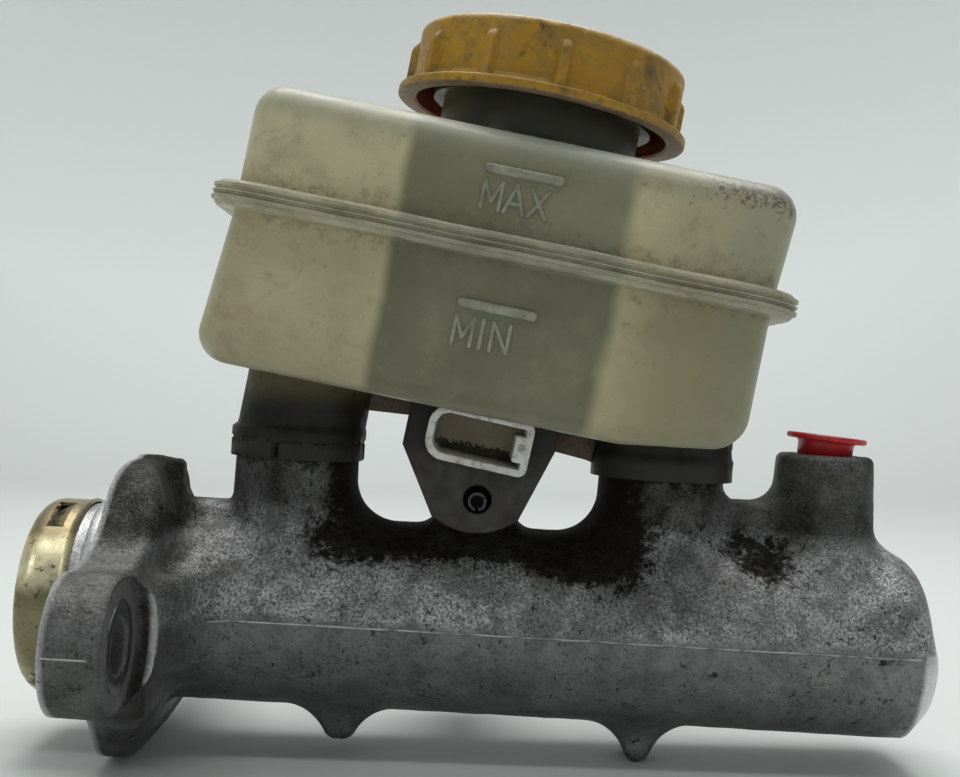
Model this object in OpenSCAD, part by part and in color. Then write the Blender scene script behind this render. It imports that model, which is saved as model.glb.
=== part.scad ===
// Tandem brake master cylinder with its fluid reservoir, bolted on by a two-ear flange.
// The bore runs along X. X = 0 is the mounting face, +X points to the closed end, +Z is up.

/* [Bore and pistons] */
// Diameter of the bore
bore_d = 23.8; // [23.4:0.1:24.2]
// Place of the flat bottom of the bore
bore_end_x = 140; // [140:0.5:142]
// Radial running clearance of the pistons
piston_clear = 0.04; // [0.02:0.01:0.08]
// Radial clearance of the rubber cups
cup_clear = 0.05; // [0.02:0.01:0.1]
// Diameter of the pushrod socket in the primary piston
socket_d = 14; // [12:0.5:15]
// Depth of the pushrod socket
socket_depth = 14; // [10:0.5:14]

/* [Casting] */
// Diameter of the barrel
barrel_d = 36; // [35:0.5:37]
// Length from the mounting face to the closed end
barrel_len = 152.2; // [151:0.1:155]
// Diameter of the locating spigot
spigot_d = 38; // [37.6:0.1:38.5]
// Length of the locating spigot
spigot_len = 6.2; // [5:0.1:7]
// Thickness of the flange
flange_t = 10; // [8:0.5:11]
// Distance between the stud holes
stud_spacing = 90; // [86:1:94]
// Diameter of the stud holes
stud_hole_d = 9; // [8.4:0.1:10]
// Radius of the flange's middle lobes
lobe_r = 32; // [30:0.5:33]
// Height of the flange's flat lobe ends above and below the axis
lobe_z = 27.7; // [26:0.1:29]
// Radius of the flange's ears
ear_r = 11.7; // [11:0.1:12.5]

/* [Bosses and outlets] */
// Place of the rear reservoir boss
rear_boss_x = 30.3; // [29.8:0.1:30.8]
// Radius of the rear reservoir boss
rear_boss_r = 11.8; // [11.5:0.1:11.9]
// Place of the front reservoir boss
front_boss_x = 101.2; // [100.8:0.1:101.6]
// Radius of the front reservoir boss
front_boss_r = 12; // [11.7:0.1:12.1]
// Height of the tops of both reservoir bosses
boss_top_z = 31.5; // [31:0.1:32]
// Place of the front outlet
outlet_x = 132.9; // [131:0.1:134]
// Height of the top of the front outlet
outlet_top_z = 35.8; // [34:0.1:37]
// Place of the side outlet
side_outlet_x = 64.5; // [64:0.1:65]
// Distance from the axis to the end of the side outlet
side_outlet_y = 32.5; // [32:0.5:35]
// Diameter of the outlet threads
outlet_thread_d = 9; // [8.5:0.1:9.2]
// Depth of the outlet threads
outlet_thread_len = 10; // [8:0.5:11]

/* [Reservoir] */
// Tilt of the reservoir, front end down
tank_tilt = 8.3; // [8:0.1:8.6]
// Rear end of the reservoir along its own length
tank_x0 = 9.2; // [8.5:0.1:10]
// Front end of the reservoir along its own length
tank_x1 = 105.3; // [104.5:0.1:106]
// Floor of the reservoir in its own frame
tank_floor = 49; // [49:0.1:49.4]
// Roof of the reservoir in its own frame
tank_roof = 99; // [98:0.1:100]
// Weld line of the two shells in the reservoir's frame
belt_z = 78.2; // [77:0.1:80]
// Width of the reservoir
tank_w = 60.6; // [58:0.1:62]
// Wall of the reservoir
tank_wall = 2.2; // [1.8:0.1:2.4]
// How far the belt stands out at the ends and sides
belt_out = 4.2; // [3:0.1:5]

/* [Filler cap] */
// Diameter of the cap's skirt
cap_d = 52; // [51:0.5:54]
// Diameter of the cap's bottom lip
cap_lip_d = 56.6; // [55:0.1:58]
// Height of the cap
cap_h = 13.4; // [12.5:0.1:14]
// Number of grip ribs
cap_ribs = 12; // [8:1:16]

/* [Hidden] */
$fn = 64;
eps = 0.01;

// Casting
bore_r = bore_d / 2;
barrel_r = barrel_d / 2;
spigot_r = spigot_d / 2;
end_chamfer = 3.4;
mouth_chamfer = 3;
lead_in = [1.2, 1.6];
seat_r = spigot_r + 0.5;
seat_depth = 2;
stop_cap_r = 18.75;
stop_cap_sheet = 0.7;
stop_cap_x0 = -18.1;
stop_cap_x1 = -8.7;
stop_cap_hole_r = 9.6;
stop_cap_edge_r = 3.7;
claw_w = 5;
claw_window = [3.8, 6, 9];
mouth_x = stop_cap_x0 + stop_cap_sheet;
mouth_r = stop_cap_r - stop_cap_sheet;
claw_angles = [24, 114, 204, 294];
claw_groove_x = [-14.2, -9.6];
claw_groove_r = 17;
flange_blend_r = 21;
lobe_taper_z = 16;
low_lobe_tip_t = 4.6;
top_lobe_tip_t = 6.4;
top_rib = [9.2, 6, 27.2];
spotface_r = 11;
spotface_depth = 0.6;
recess_r = 9;
recess_z = 20;
boss_flare = 3.5;
boss_flare_z = [8, 22];
fillet_r = 6;
outlet_r = 9.2;
outlet_base_r = 10.9;
outlet_seat_r = 5.4;
outlet_seat_depth = 3;
passage_r = 2;
feed_r = 1.5;
bleed_r = 0.45;
web_w = 11;
web_top_z = 25.7;
lug_x = 65.5;
lug_half_l = 6.6;
lug_w = 11;
lug_top_z = 28.4;
// Place along the bore, height of the tip, width of the tip and of the root
rear_foot_size = [41.8, -23.9, 4.3, 15.6];
front_foot_size = [98.9, -25, 3, 13.3];

// Pistons, from the rear to the front
piston_r = bore_r - piston_clear;
cup_r = bore_r - cup_clear;
primary_rear_x = mouth_x + 0.05;
primary_groove_x = [-6, -2];
primary_stem_x = [0.5, 29];
primary_land_x = 31.2;
secondary_rear_x = 64;
secondary_grooves_x = [[67, 70.6], [72.4, 76]];
secondary_stem_x = [78.5, 101.2];
secondary_land_x = 103.3;
cup_len = 3.9;
nose_r = 6;
washer_t = 1.2;
stem_r = 7.8;
wire_d = 2.2;
coil_r = 8;
screw_r = 2.2;
pin_x = 96.5;
pin_r = 1.5;
slot_x = [81.8, 98.2];
slot_w = 3.6;
screw_well_x = 80.4;
screw_well_r = 4.2;
screw_x = 22;

// Outlet plugs
plug_rim_r = 7.6;
plug_rim_z = 5.1;
plug_rim_t = 1.2;
plug_hollow_r = 4.3;
plug_lift = 0.5;

// Reservoir
tank_edge_r = 5;
nozzle_x = 25.3;
nozzle_r = 12.2;
nozzle_bore_r = 9.4;
skirt_z = 29.5;
disc_z = 33;
skirt_top_z = 35.3;
rear_skirt_r = 12.9;
front_skirt_r = 13.7;
front_tier_z = 38;
skirt_gap = 0.2;
spout_r = 6.4;
spout_bore_r = 4.8;
spout_z = 23;
knee_x = 83.5;
wall_places = [37.7, 77.5];
inner_wall = 1.6;
neck_x = 59;
neck_r = 19.3;
neck_bore_r = 17.3;
neck_thread_r = 22.6;
neck_thread_z = 107.4;
neck_top_z = 115;
tongue_x = 65.4;
tongue_y = 7.6;
tongue_t = 3;
rib_t = 2.4;
rib_low_z = 38.9;
rib_front_x = 88.4;
pin_hole_x = 65.7;
pin_hole_z = 23.5;
spring_pin_r = 2.05;
tongue_hole_r = 2.6;
sleeve_x = 65.3;
sleeve_z = 35.2;
sleeve_l = 19.2;
sleeve_h = 10;
sleeve_wall = 1.3;
sleeve_tilt = tank_tilt + 1.2;
sleeve_y = [-19, 6];
rim_z = 106.4;
strainer_t = 0.8;
strainer_low_z = 97;
strainer_rim_r = 19.5;
strainer_wall = 1.2;
gasket_r = 23.4;
gasket_t = 1.4;
gasket_z = neck_top_z + strainer_t;
cap_edge_r = 1.3;
cap_lip_t = 1.6;
cap_inner_r = 24.7;
grip_turn = -86;
grip_w = 2.2;
float_size = [25, 24, 8.6];
float_x = 57.6;
float_z = tank_floor + tank_wall + 0.3;
magnet_r = 4.2;
magnet_h = 2.4;
pin_len = 19.2;
pin_hollow_r = 1.2;

// ---- Helpers ----

// Turned part about the bore: x is the radius and y the place along X.
module turned() rotate([0, 90, 0]) rotate_extrude() children();

// 2D children in X and Z, extruded by w and centred on Y.
module across(w) rotate([90, 0, 0]) linear_extrude(w, center = true) children();

// 2D children in Y and Z, extruded along X from x.
module along(x, len) translate([x, 0, 0]) rotate([90, 0, 90]) linear_extrude(len) children();

// Upright children at a place along the bore.
module upright(x, z) translate([x, 0, z]) children();

// The reservoir's own frame.
module in_tank() rotate([0, tank_tilt, 0]) children();

module ring(r_out, r_in, h) difference() {
    cylinder(r = r_out, h = h);
    translate([0, 0, -1]) cylinder(r = r_in, h = h + 2);
}

// Rectangle with its lower corner at (r, x), for turned profiles.
module band(r0, r1, x0, x1) translate([r0, x0]) square([r1 - r0, x1 - x0]);

function unit(v) = v / norm(v);

// Points of the arc of radius r that rounds corner b of the path a, b, c.
function corner(a, b, c, r, n = 6) = let(
    u = unit(a - b),
    w = unit(c - b),
    half = acos(u * w) / 2,
    centre = b + unit(u + w) * r / sin(half),
    from = b + u * r / tan(half) - centre,
    to = b + w * r / tan(half) - centre
) [for (i = [0:n]) centre + r * unit(from * (n - i) + to * i)];

// Points of an arc about c from angle a0 to a1, without its first point.
function arc(c, r, a0, a1, n) = [for (i = [1:n]) let(a = a0 + (a1 - a0) * i / n) c + r * [cos(a), sin(a)]];

// Closed outline with each corner rounded by its own radius.
function rounded(pts, radii) = let(n = len(pts)) [
    for (i = [0:n - 1]) each corner(pts[(i + n - 1) % n], pts[i], pts[(i + 1) % n], radii[i])
];

// ---- Casting ----
// The real casting is one piece. Its barrel, flange, bosses, lug and feet are touching solids
// here, so that each has a simple collision shape and the spaces between them stay open.

// One quarter of the flange's outline: ear, concave blend and lobe, from the ear's tip to the top.
function flange_quarter() = let(
    reach_a = lobe_r + flange_blend_r,
    reach_b = ear_r + flange_blend_r,
    ear = [stud_spacing / 2, 0],
    blend_y = (reach_a * reach_a - reach_b * reach_b + ear[0] * ear[0]) / (2 * ear[0]),
    blend = [blend_y, sqrt(reach_a * reach_a - blend_y * blend_y)],
    ear_turn = atan2(blend[1], blend[0] - ear[0]),
    lobe_turn = atan2(blend[1], blend[0]),
    top_turn = asin(lobe_z / lobe_r)
) concat(
    arc(ear, ear_r, 0, ear_turn, 10),
    arc(blend, flange_blend_r, 180 + ear_turn, 180 + lobe_turn, 7),
    arc([0, 0], lobe_r, lobe_turn, top_turn, 5)
);

module flange_outline() {
    q = flange_quarter();
    back = [for (i = [len(q) - 1:-1:0]) q[i]];
    polygon(concat(
        q,
        [for (p = back) [-p[0], p[1]]],
        [for (p = q) [-p[0], -p[1]]],
        [for (p = back) [p[0], -p[1]]]
    ));
}

// Wedge in front of a lobe that thins towards its tip; side is 1 at the top and -1 below.
module lobe_taper(side, tip_t) across(2 * lobe_r) polygon([
    [flange_t + 1, side * lobe_taper_z], [flange_t + eps, side * lobe_taper_z],
    [tip_t, side * lobe_z], [tip_t, side * (lobe_z + 1)], [flange_t + 1, side * (lobe_z + 1)]
]);

module flange() {
    difference() {
        along(0, flange_t) flange_outline();
        lobe_taper(-1, low_lobe_tip_t);
        lobe_taper(1, top_lobe_tip_t);
    }
    // Rib up the middle of the top lobe.
    translate([1, -top_rib[1] / 2, barrel_r]) cube([top_rib[0] - 1, top_rib[1], top_rib[2] - barrel_r]);
}

// Children without what lies inside the barrel.
module outside_barrel() difference() {
    children();
    turned() band(0, barrel_r, -1, barrel_len);
}

// Concave fillet around the barrel, in front of the flange.
module flange_fillet() {
    reach = barrel_r + fillet_r;
    arc_pts = arc([reach, flange_t + fillet_r], fillet_r, 270, 190, 8);
    turned() polygon(concat(
        [[barrel_r - 1, flange_t - 1], [reach, flange_t - 1], [reach, flange_t]],
        arc_pts,
        [[barrel_r - 1, arc_pts[7][1]]]
    ));
}

// Round boss that the reservoir sits on, with its flared foot.
module boss_shape(x, r) {
    upright(x, 0) cylinder(r = r, h = boss_top_z);
    upright(x, boss_flare_z[0])
        cylinder(r1 = r + boss_flare, r2 = r, h = boss_flare_z[1] - boss_flare_z[0]);
}

module foot(size) color("darkgray") outside_barrel() across(lug_w) let(
    x = size[0],
    tip = size[2] / 2,
    root = size[3] / 2,
    root_z = 2 - barrel_r
) polygon([[x - root, root_z], [x - tip, size[1]], [x + tip, size[1]], [x + root, root_z]]);

// Tapered boss of an outlet, from the axis of the bore to height top.
module outlet_boss(top) cylinder(r1 = outlet_base_r, r2 = outlet_r, h = top);

// Plug seat, thread and passage of an outlet that opens at height top.
module outlet_bore(top) {
    thread_z = top - outlet_seat_depth - outlet_thread_len;
    translate([0, 0, top - outlet_seat_depth]) cylinder(r = outlet_seat_r, h = outlet_seat_depth + 1);
    translate([0, 0, thread_z]) cylinder(r = outlet_thread_d / 2, h = outlet_thread_len + 1);
    translate([0, 0, bore_r - 2]) cylinder(r = passage_r, h = thread_z - bore_r + 3);
}

module on_side_outlet() translate([side_outlet_x, 0, 0]) rotate([-90, 0, 0]) children();

// Feed holes and compensating holes from both seal recesses into the bore.
module feed_holes() {
    for (x = [rear_boss_x - 2.8, front_boss_x - 0.8])
        upright(x, bore_r - 1.5) cylinder(r = feed_r, h = recess_z - bore_r + 2);
    for (x = [rear_boss_x + 6, front_boss_x + 7])
        upright(x, bore_r - 1) cylinder(r = bleed_r, h = recess_z - bore_r + 2, $fn = 24);
    upright(pin_x, bore_r - 1) cylinder(r = pin_r, h = recess_z - bore_r + 2);
}

module both_outlet_bores() {
    upright(outlet_x, 0) outlet_bore(outlet_top_z);
    on_side_outlet() outlet_bore(side_outlet_y);
}

module cylinder_body() color("darkgray") difference() {
    turned() polygon([
        [0, mouth_x], [mouth_r - mouth_chamfer, mouth_x], [mouth_r, mouth_x + mouth_chamfer],
        [mouth_r, -spigot_len], [spigot_r, -spigot_len], [spigot_r, 0],
        [seat_r, 0], [seat_r, seat_depth], [barrel_r, seat_depth],
        [barrel_r, barrel_len - end_chamfer], [barrel_r - end_chamfer, barrel_len], [0, barrel_len]
    ]);
    // Bore with its lead-in and its blunt end.
    turned() polygon([
        [0, mouth_x - 1], [bore_r + lead_in[0], mouth_x - 1], [bore_r + lead_in[0], mouth_x],
        [bore_r, mouth_x + lead_in[1]],
        [bore_r, bore_end_x], [bore_r - 5, bore_end_x + 1.5], [0, bore_end_x + 1.5]
    ]);
    // Groove for the claws of the stopper cap.
    turned() band(claw_groove_r, mouth_r + 1, claw_groove_x[0], claw_groove_x[1]);
    feed_holes();
    both_outlet_bores();
}

// Its hole starts with a step that takes the collar at the foot of the spigot.
module mounting_flange() color("darkgray") difference() {
    outside_barrel() {
        flange();
        flange_fillet();
    }
    turned() band(0, seat_r, -1, seat_depth);
    for (s = [-1, 1]) translate([0, s * stud_spacing / 2, 0]) rotate([0, 90, 0]) {
        translate([0, 0, -1]) cylinder(r = stud_hole_d / 2, h = flange_t + 2);
        translate([0, 0, flange_t - spotface_depth]) cylinder(r = spotface_r, h = fillet_r + 6);
    }
}

module reservoir_boss(x, r) color("darkgray") difference() {
    outside_barrel() boss_shape(x, r);
    upright(x, recess_z) cylinder(r = recess_r, h = boss_top_z);
    feed_holes();
}
module rear_boss() reservoir_boss(rear_boss_x, rear_boss_r);
module front_boss() reservoir_boss(front_boss_x, front_boss_r);

// Web between the front boss and the front outlet.
module boss_web() color("darkgray") difference() {
    outside_barrel() translate([front_boss_x, -web_w / 2, 0])
        cube([outlet_x - front_boss_x, web_w, web_top_z]);
    boss_shape(front_boss_x, front_boss_r);
    upright(outlet_x, 0) outlet_boss(outlet_top_z);
}

module front_outlet_boss() color("darkgray") difference() {
    outside_barrel() upright(outlet_x, 0) outlet_boss(outlet_top_z);
    both_outlet_bores();
}

module side_outlet_boss() color("darkgray") difference() {
    outside_barrel() on_side_outlet() outlet_boss(side_outlet_y);
    both_outlet_bores();
}

// Lug that the reservoir's tongues straddle.
module tongue_lug() color("darkgray") difference() {
    outside_barrel() across(lug_w) polygon(rounded([
        [lug_x - lug_half_l - 1.5, 10], [lug_x + lug_half_l + 1.5, 10],
        [lug_x + lug_half_l - 1, lug_top_z], [lug_x - lug_half_l + 1, lug_top_z]
    ], [1, 1, 3, 3]));
    translate([pin_hole_x, -lug_w, pin_hole_z]) rotate([-90, 0, 0])
        cylinder(r = spring_pin_r, h = 2 * lug_w);
}

module rear_foot() foot(rear_foot_size);
module front_foot() foot(front_foot_size);

module stopper_cap() color("goldenrod") {
    difference() {
        turned() difference() {
            union() {
                band(0, stop_cap_r - stop_cap_edge_r, stop_cap_x0, stop_cap_x1);
                band(0, stop_cap_r, stop_cap_x0 + stop_cap_edge_r, stop_cap_x1);
                translate([stop_cap_r - stop_cap_edge_r, stop_cap_x0 + stop_cap_edge_r])
                    circle(r = stop_cap_edge_r);
            }
            band(-1, stop_cap_hole_r, stop_cap_x0 - 1, stop_cap_x1);
            polygon([
                [0, mouth_x], [mouth_r - mouth_chamfer, mouth_x], [mouth_r, mouth_x + mouth_chamfer],
                [mouth_r, stop_cap_x1 + 1], [0, stop_cap_x1 + 1]
            ]);
            band(-30, 0, -30, 0);
        }
        for (a = claw_angles) rotate([a, 0, 0])
            translate([claw_groove_x[0] + 0.4, 15, -claw_window[2] / 2]) cube(claw_window);
    }
    // Claws bent into the groove.
    for (a = claw_angles) rotate([a, 0, 0]) translate([0, 0, -claw_w / 2]) linear_extrude(claw_w) polygon([
        [claw_groove_x[0] + 1, claw_groove_r + 0.1], [claw_groove_x[0] + 1.5, claw_groove_r + 0.05],
        [claw_groove_x[1] - 0.05, mouth_r + 0.02], [claw_groove_x[1] + 0.5, mouth_r + 0.02],
        [claw_groove_x[1] + 0.5, stop_cap_r - 0.1]
    ]);
}

module stopper_pin() color("silver") upright(pin_x, -5.5) cylinder(r = pin_r, h = recess_z + 6.5);

module reservoir_seal(x) color("dimgray") upright(x, 0) {
    translate([0, 0, recess_z + 0.5]) ring(recess_r, spout_r, boss_top_z - recess_z - 0.5);
    translate([0, 0, boss_top_z]) ring(11.3, spout_r, disc_z - boss_top_z);
}
module rear_reservoir_seal() reservoir_seal(rear_boss_x);
module front_reservoir_seal() reservoir_seal(front_boss_x);

// ---- Pistons ----

module primary_piston() color("lightsteelblue") turned() difference() {
    union() {
        band(0, piston_r, primary_rear_x, primary_groove_x[0]);
        band(0, 8.6, primary_groove_x[0] - 1, primary_groove_x[1] + 1);
        band(0, piston_r, primary_groove_x[1], primary_stem_x[0]);
        band(0, stem_r, primary_stem_x[0] - 1, primary_stem_x[1] + 1);
        band(0, piston_r, primary_stem_x[1], primary_land_x);
        band(0, nose_r, primary_land_x - 1, primary_land_x + cup_len + washer_t);
    }
    // Pushrod socket with its conical bottom, and the screw hole.
    polygon([
        [-1, primary_rear_x - 1], [socket_d / 2, primary_rear_x - 1],
        [socket_d / 2, primary_rear_x + socket_depth - 2], [2, primary_rear_x + socket_depth],
        [-1, primary_rear_x + socket_depth]
    ]);
    band(-1, screw_r, screw_x, 50);
    band(-30, 0, -30, 60);
}

// Lip seal of outer radius cup_r on a seat of radius r_in, from x, lips forwards or backwards.
module cup(r_in, x, len, forwards = true) {
    back = len * 0.55;
    turned() difference() {
        band(r_in, cup_r, x, x + len);
        translate([0, forwards ? x + back : x - 1]) square([cup_r - 1.5, len - back + 1]);
    }
    turned() band(r_in, r_in + 1.3, x, x + len);
}
module primary_rear_cup() color("dimgray")
    cup(8.6, primary_groove_x[0], primary_groove_x[1] - primary_groove_x[0]);
module primary_front_cup() color("dimgray") cup(nose_r, primary_land_x, cup_len);

module cup_retainer(x) color("silver") turned() band(nose_r, 10.2, x, x + washer_t);
module primary_cup_retainer() cup_retainer(primary_land_x + cup_len);

module primary_spring_seat() color("silver")
    turned() band(screw_r + 0.3, 10, secondary_rear_x - washer_t, secondary_rear_x);

module primary_spring_screw() color("silver") turned() {
    band(0, screw_r, screw_x + 0.2, secondary_rear_x + 0.6);
    band(0, 3.6, secondary_rear_x + 0.1, secondary_rear_x + 1.9);
}

module secondary_piston() color("lightsteelblue") difference() {
    turned() difference() {
        union() {
            band(0, 9, secondary_rear_x, secondary_grooves_x[0][0]);
            band(0, stem_r, secondary_rear_x + 1, secondary_land_x);
            band(0, piston_r, secondary_grooves_x[0][1], secondary_grooves_x[1][0]);
            band(0, piston_r, secondary_grooves_x[1][1], secondary_stem_x[0]);
            band(0, piston_r, secondary_stem_x[1], secondary_land_x);
            band(0, nose_r, secondary_land_x - 1, secondary_land_x + cup_len + washer_t);
        }
        band(-1, screw_well_r, secondary_rear_x - 1, screw_well_x);
        band(-30, 0, 0, 120);
    }
    // Slot for the stopper pin.
    translate([slot_x[0], -slot_w / 2, -20]) cube([slot_x[1] - slot_x[0], slot_w, 40]);
}

module secondary_rear_cups() color("dimgray") {
    cup(stem_r, secondary_grooves_x[0][0], secondary_grooves_x[0][1] - secondary_grooves_x[0][0], false);
    cup(stem_r, secondary_grooves_x[1][0], secondary_grooves_x[1][1] - secondary_grooves_x[1][0]);
}
module secondary_front_cup() color("dimgray") cup(nose_r, secondary_land_x, cup_len);
module secondary_cup_retainer() cup_retainer(secondary_land_x + cup_len);

// Compression spring from x0 to x1 with a flat coil at each end.
module spring(x0, x1, turns) {
    sides = 8;
    steps = 22;
    rings = round(turns * steps);
    flat_pitch = wire_d * 1.06;
    span = x1 - x0 - wire_d;
    pitch = (span - 2 * flat_pitch) / (turns - 2);
    function place(s) = s < 1 ? s * flat_pitch
        : s > turns - 1 ? span - (turns - s) * flat_pitch
        : flat_pitch + (s - 1) * pitch;
    points = [
        for (i = [0:rings], j = [0:sides - 1]) let(
            s = i / steps,
            a = 360 * s,
            b = 360 * (j + 0.5) / sides,
            r = coil_r + wire_d / 2 * cos(b)
        ) [x0 + wire_d / 2 + place(s) + wire_d / 2 * sin(b), r * cos(a), r * sin(a)]
    ];
    faces = concat(
        [[for (j = [0:sides - 1]) j]],
        [
            for (i = [0:rings - 1], j = [0:sides - 1]) let(k = (j + 1) % sides)
            [i * sides + j, (i + 1) * sides + j, (i + 1) * sides + k, i * sides + k]
        ],
        [[for (j = [sides - 1:-1:0]) rings * sides + j]]
    );
    color("slategray") polyhedron(points, faces, convexity = 10);
}
module primary_spring()
    spring(primary_land_x + cup_len + washer_t, secondary_rear_x - washer_t, 5.5);
module secondary_spring()
    spring(secondary_land_x + cup_len + washer_t, bore_end_x - 0.1, 7);

// ---- Outlet plugs ----

// Hollow push-in plug whose stem goes down to z = 0.
module plug() color("crimson") difference() {
    union() {
        cylinder(r1 = outlet_seat_r - 0.45, r2 = outlet_seat_r - 0.1, h = plug_rim_z + 0.1);
        translate([0, 0, plug_rim_z]) cylinder(r = plug_rim_r, h = plug_rim_t);
    }
    translate([0, 0, 1]) cylinder(r = plug_hollow_r, h = 8);
}
module front_outlet_plug() upright(outlet_x, outlet_top_z - outlet_seat_depth + plug_lift) plug();
module side_outlet_plug() on_side_outlet()
    translate([0, 0, side_outlet_y - outlet_seat_depth + plug_lift]) plug();

// ---- Reservoir ----

// Side outline in the reservoir's frame, moved inwards by t.
function tank_side(t) = [
    [tank_x0 + t, tank_floor + t], [knee_x - t * tan(tank_tilt / 2), tank_floor + t],
    [tank_x1 - t, tank_floor + (tank_x1 - t - knee_x) * tan(tank_tilt) + t / cos(tank_tilt)],
    [tank_x1 - t, tank_roof - t], [tank_x0 + t, tank_roof - t]
];

module tank_plan(t, r) {
    l = tank_x1 - tank_x0 - 2 * t;
    w = tank_w - 2 * t;
    translate([tank_x0 + t, -w / 2]) polygon(rounded([[0, 0], [l, 0], [l, w], [0, w]], [r, r, r, r]));
}

module tank_block(t) intersection() {
    across(tank_w - 2 * t) polygon(rounded(tank_side(t), [tank_edge_r - t, 20, tank_edge_r - t,
        tank_edge_r - t, tank_edge_r - t]));
    linear_extrude(tank_roof + 1) tank_plan(t, tank_edge_r - t);
}

// The three chambers, which meet above and below their two dividing walls.
module tank_chambers() difference() {
    tank_block(tank_wall);
    for (x = wall_places) translate([x - inner_wall / 2, -tank_w / 2, tank_floor - 1]) difference() {
        cube([inner_wall, tank_w, tank_roof - tank_floor - 6]);
        translate([-1, tank_w - 12, tank_wall + 4]) cube([inner_wall + 2, 5, 14]);
    }
}

module belt(z, h) translate([0, 0, z]) linear_extrude(h) tank_plan(-belt_out, tank_edge_r + belt_out);

module below(z) translate([-50, -100, z - 200]) cube([300, 200, 200]);
module above(z) translate([-50, -100, z]) cube([300, 200, 200]);

function tank_floor_at(x, z) = (z - x * sin(tank_tilt)) / cos(tank_tilt);

module tongue_outline() {
    side_x = 14.4;
    side_z = 33.6;
    tip_z = 17.4;
    tip_x = 7;
    arc_r = 12.6;
    // The sides above side_z stand square to the tilted floor.
    lean = 9 * tan(tank_tilt);
    intersection() {
        translate([tongue_x, 0]) polygon([
            [-tip_x, tip_z - 1], [tip_x, tip_z - 1], [side_x, side_z],
            [side_x + lean / 2, tank_floor_at(tongue_x + side_x, tank_floor + 1)],
            [-side_x + lean, tank_floor_at(tongue_x - side_x, tank_floor + 1)], [-side_x, side_z]
        ]);
        union() {
            translate([tongue_x, tip_z + arc_r]) circle(r = arc_r);
            translate([tongue_x - 20, tip_z + 4]) square([40, 40]);
        }
    }
}

// Thin ribs under the floor, between the nozzles and the tongues.
module floor_ribs() across(rib_t) {
    polygon([
        [41, tank_floor_at(41, tank_floor + 1)], [41, rib_low_z + 0.5], [44, rib_low_z + 0.4],
        [54, rib_low_z], [54, tank_floor_at(54, tank_floor + 1)]
    ]);
    polygon([
        [77, tank_floor_at(77, tank_floor + 1)], [77, 34], [80.1, 33.4], [rib_front_x, 32],
        [rib_front_x, tank_floor_at(rib_front_x, tank_floor + 1)]
    ]);
}

// Loop outline of the sensor sleeve, moved inwards by t: rear end round, front end square.
module sleeve_outline(t) translate([sleeve_x, sleeve_z]) rotate(-sleeve_tilt) polygon(rounded([
    [-sleeve_l / 2 + t, -sleeve_h / 2 + t], [sleeve_l / 2 - t, -sleeve_h / 2 + t],
    [sleeve_l / 2 - t, sleeve_h / 2 - t], [-sleeve_l / 2 + t, sleeve_h / 2 - t]
], [3.6 - t, 1.6 - t, 1.6 - t, 3.6 - t]));

module sleeve_slug(t, y0, y1) translate([0, (y0 + y1) / 2, 0]) across(y1 - y0) sleeve_outline(t);

// Skirt over a casting boss, with the disc that closes it and the tier on top.
module skirt(x, r, boss_r, top) upright(x, 0) difference() {
    union() {
        translate([0, 0, skirt_z]) cylinder(r = r, h = skirt_top_z - skirt_z);
        translate([0, 0, disc_z]) cylinder(r = r - 0.7, h = top - disc_z);
    }
    translate([0, 0, skirt_z - 1]) cylinder(r = boss_r + skirt_gap, h = disc_z - skirt_z + 1);
}

module spout(x) upright(x, spout_z) cylinder(r = spout_r, h = disc_z - spout_z + 1);

// Children without what lies inside the reservoir's outer shape.
module outside_tank() difference() {
    children();
    in_tank() tank_block(0);
}

module rear_nozzle_shape() {
    difference() {
        in_tank() translate([nozzle_x, 0, tank_floor - 14]) cylinder(r = nozzle_r, h = 15);
        below(disc_z + 0.5);
    }
    skirt(rear_boss_x, rear_skirt_r, rear_boss_r, skirt_top_z);
    spout(rear_boss_x);
}

module front_nozzle_shape() {
    skirt(front_boss_x, front_skirt_r, front_boss_r, front_tier_z);
    spout(front_boss_x);
}

// Ways from the rear and front chambers down through the nozzles.
module nozzle_ways() {
    difference() {
        in_tank() translate([nozzle_x, 0, tank_floor - 14]) cylinder(r = nozzle_bore_r, h = 20);
        below(skirt_top_z + 0.6);
    }
    upright(front_boss_x, skirt_top_z + 0.2) cylinder(r = nozzle_bore_r, h = 6);
    for (x = [rear_boss_x, front_boss_x]) upright(x, spout_z - 1) cylinder(r = spout_bore_r, h = 14);
}

module rear_nozzle() color("olive") difference() {
    outside_tank() rear_nozzle_shape();
    nozzle_ways();
}

module front_nozzle() color("olive") difference() {
    outside_tank() front_nozzle_shape();
    nozzle_ways();
}

// Tongue on one side of the lug, with its pin hole.
module tongue(side) color("olive") difference() {
    outside_tank() translate([0, side * tongue_y, 0]) across(tongue_t) tongue_outline();
    sleeve_slug(0, -20, sleeve_y[1]);
    translate([pin_hole_x, -12, pin_hole_z]) rotate([-90, 0, 0]) cylinder(r = tongue_hole_r, h = 24);
}
module near_tongue() tongue(-1);
module far_tongue() tongue(1);

module tongue_web() color("olive") difference() {
    outside_tank() floor_ribs();
    rear_nozzle_shape();
    front_nozzle_shape();
}

module reservoir_lower() color("beige") difference() {
    in_tank() {
        intersection() {
            tank_block(0);
            below(belt_z);
        }
        belt(belt_z - 2.3, 2.3);
    }
    in_tank() intersection() {
        tank_chambers();
        below(belt_z + 1);
    }
    nozzle_ways();
    sleeve_slug(0, -20, sleeve_y[1]);
}

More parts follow.
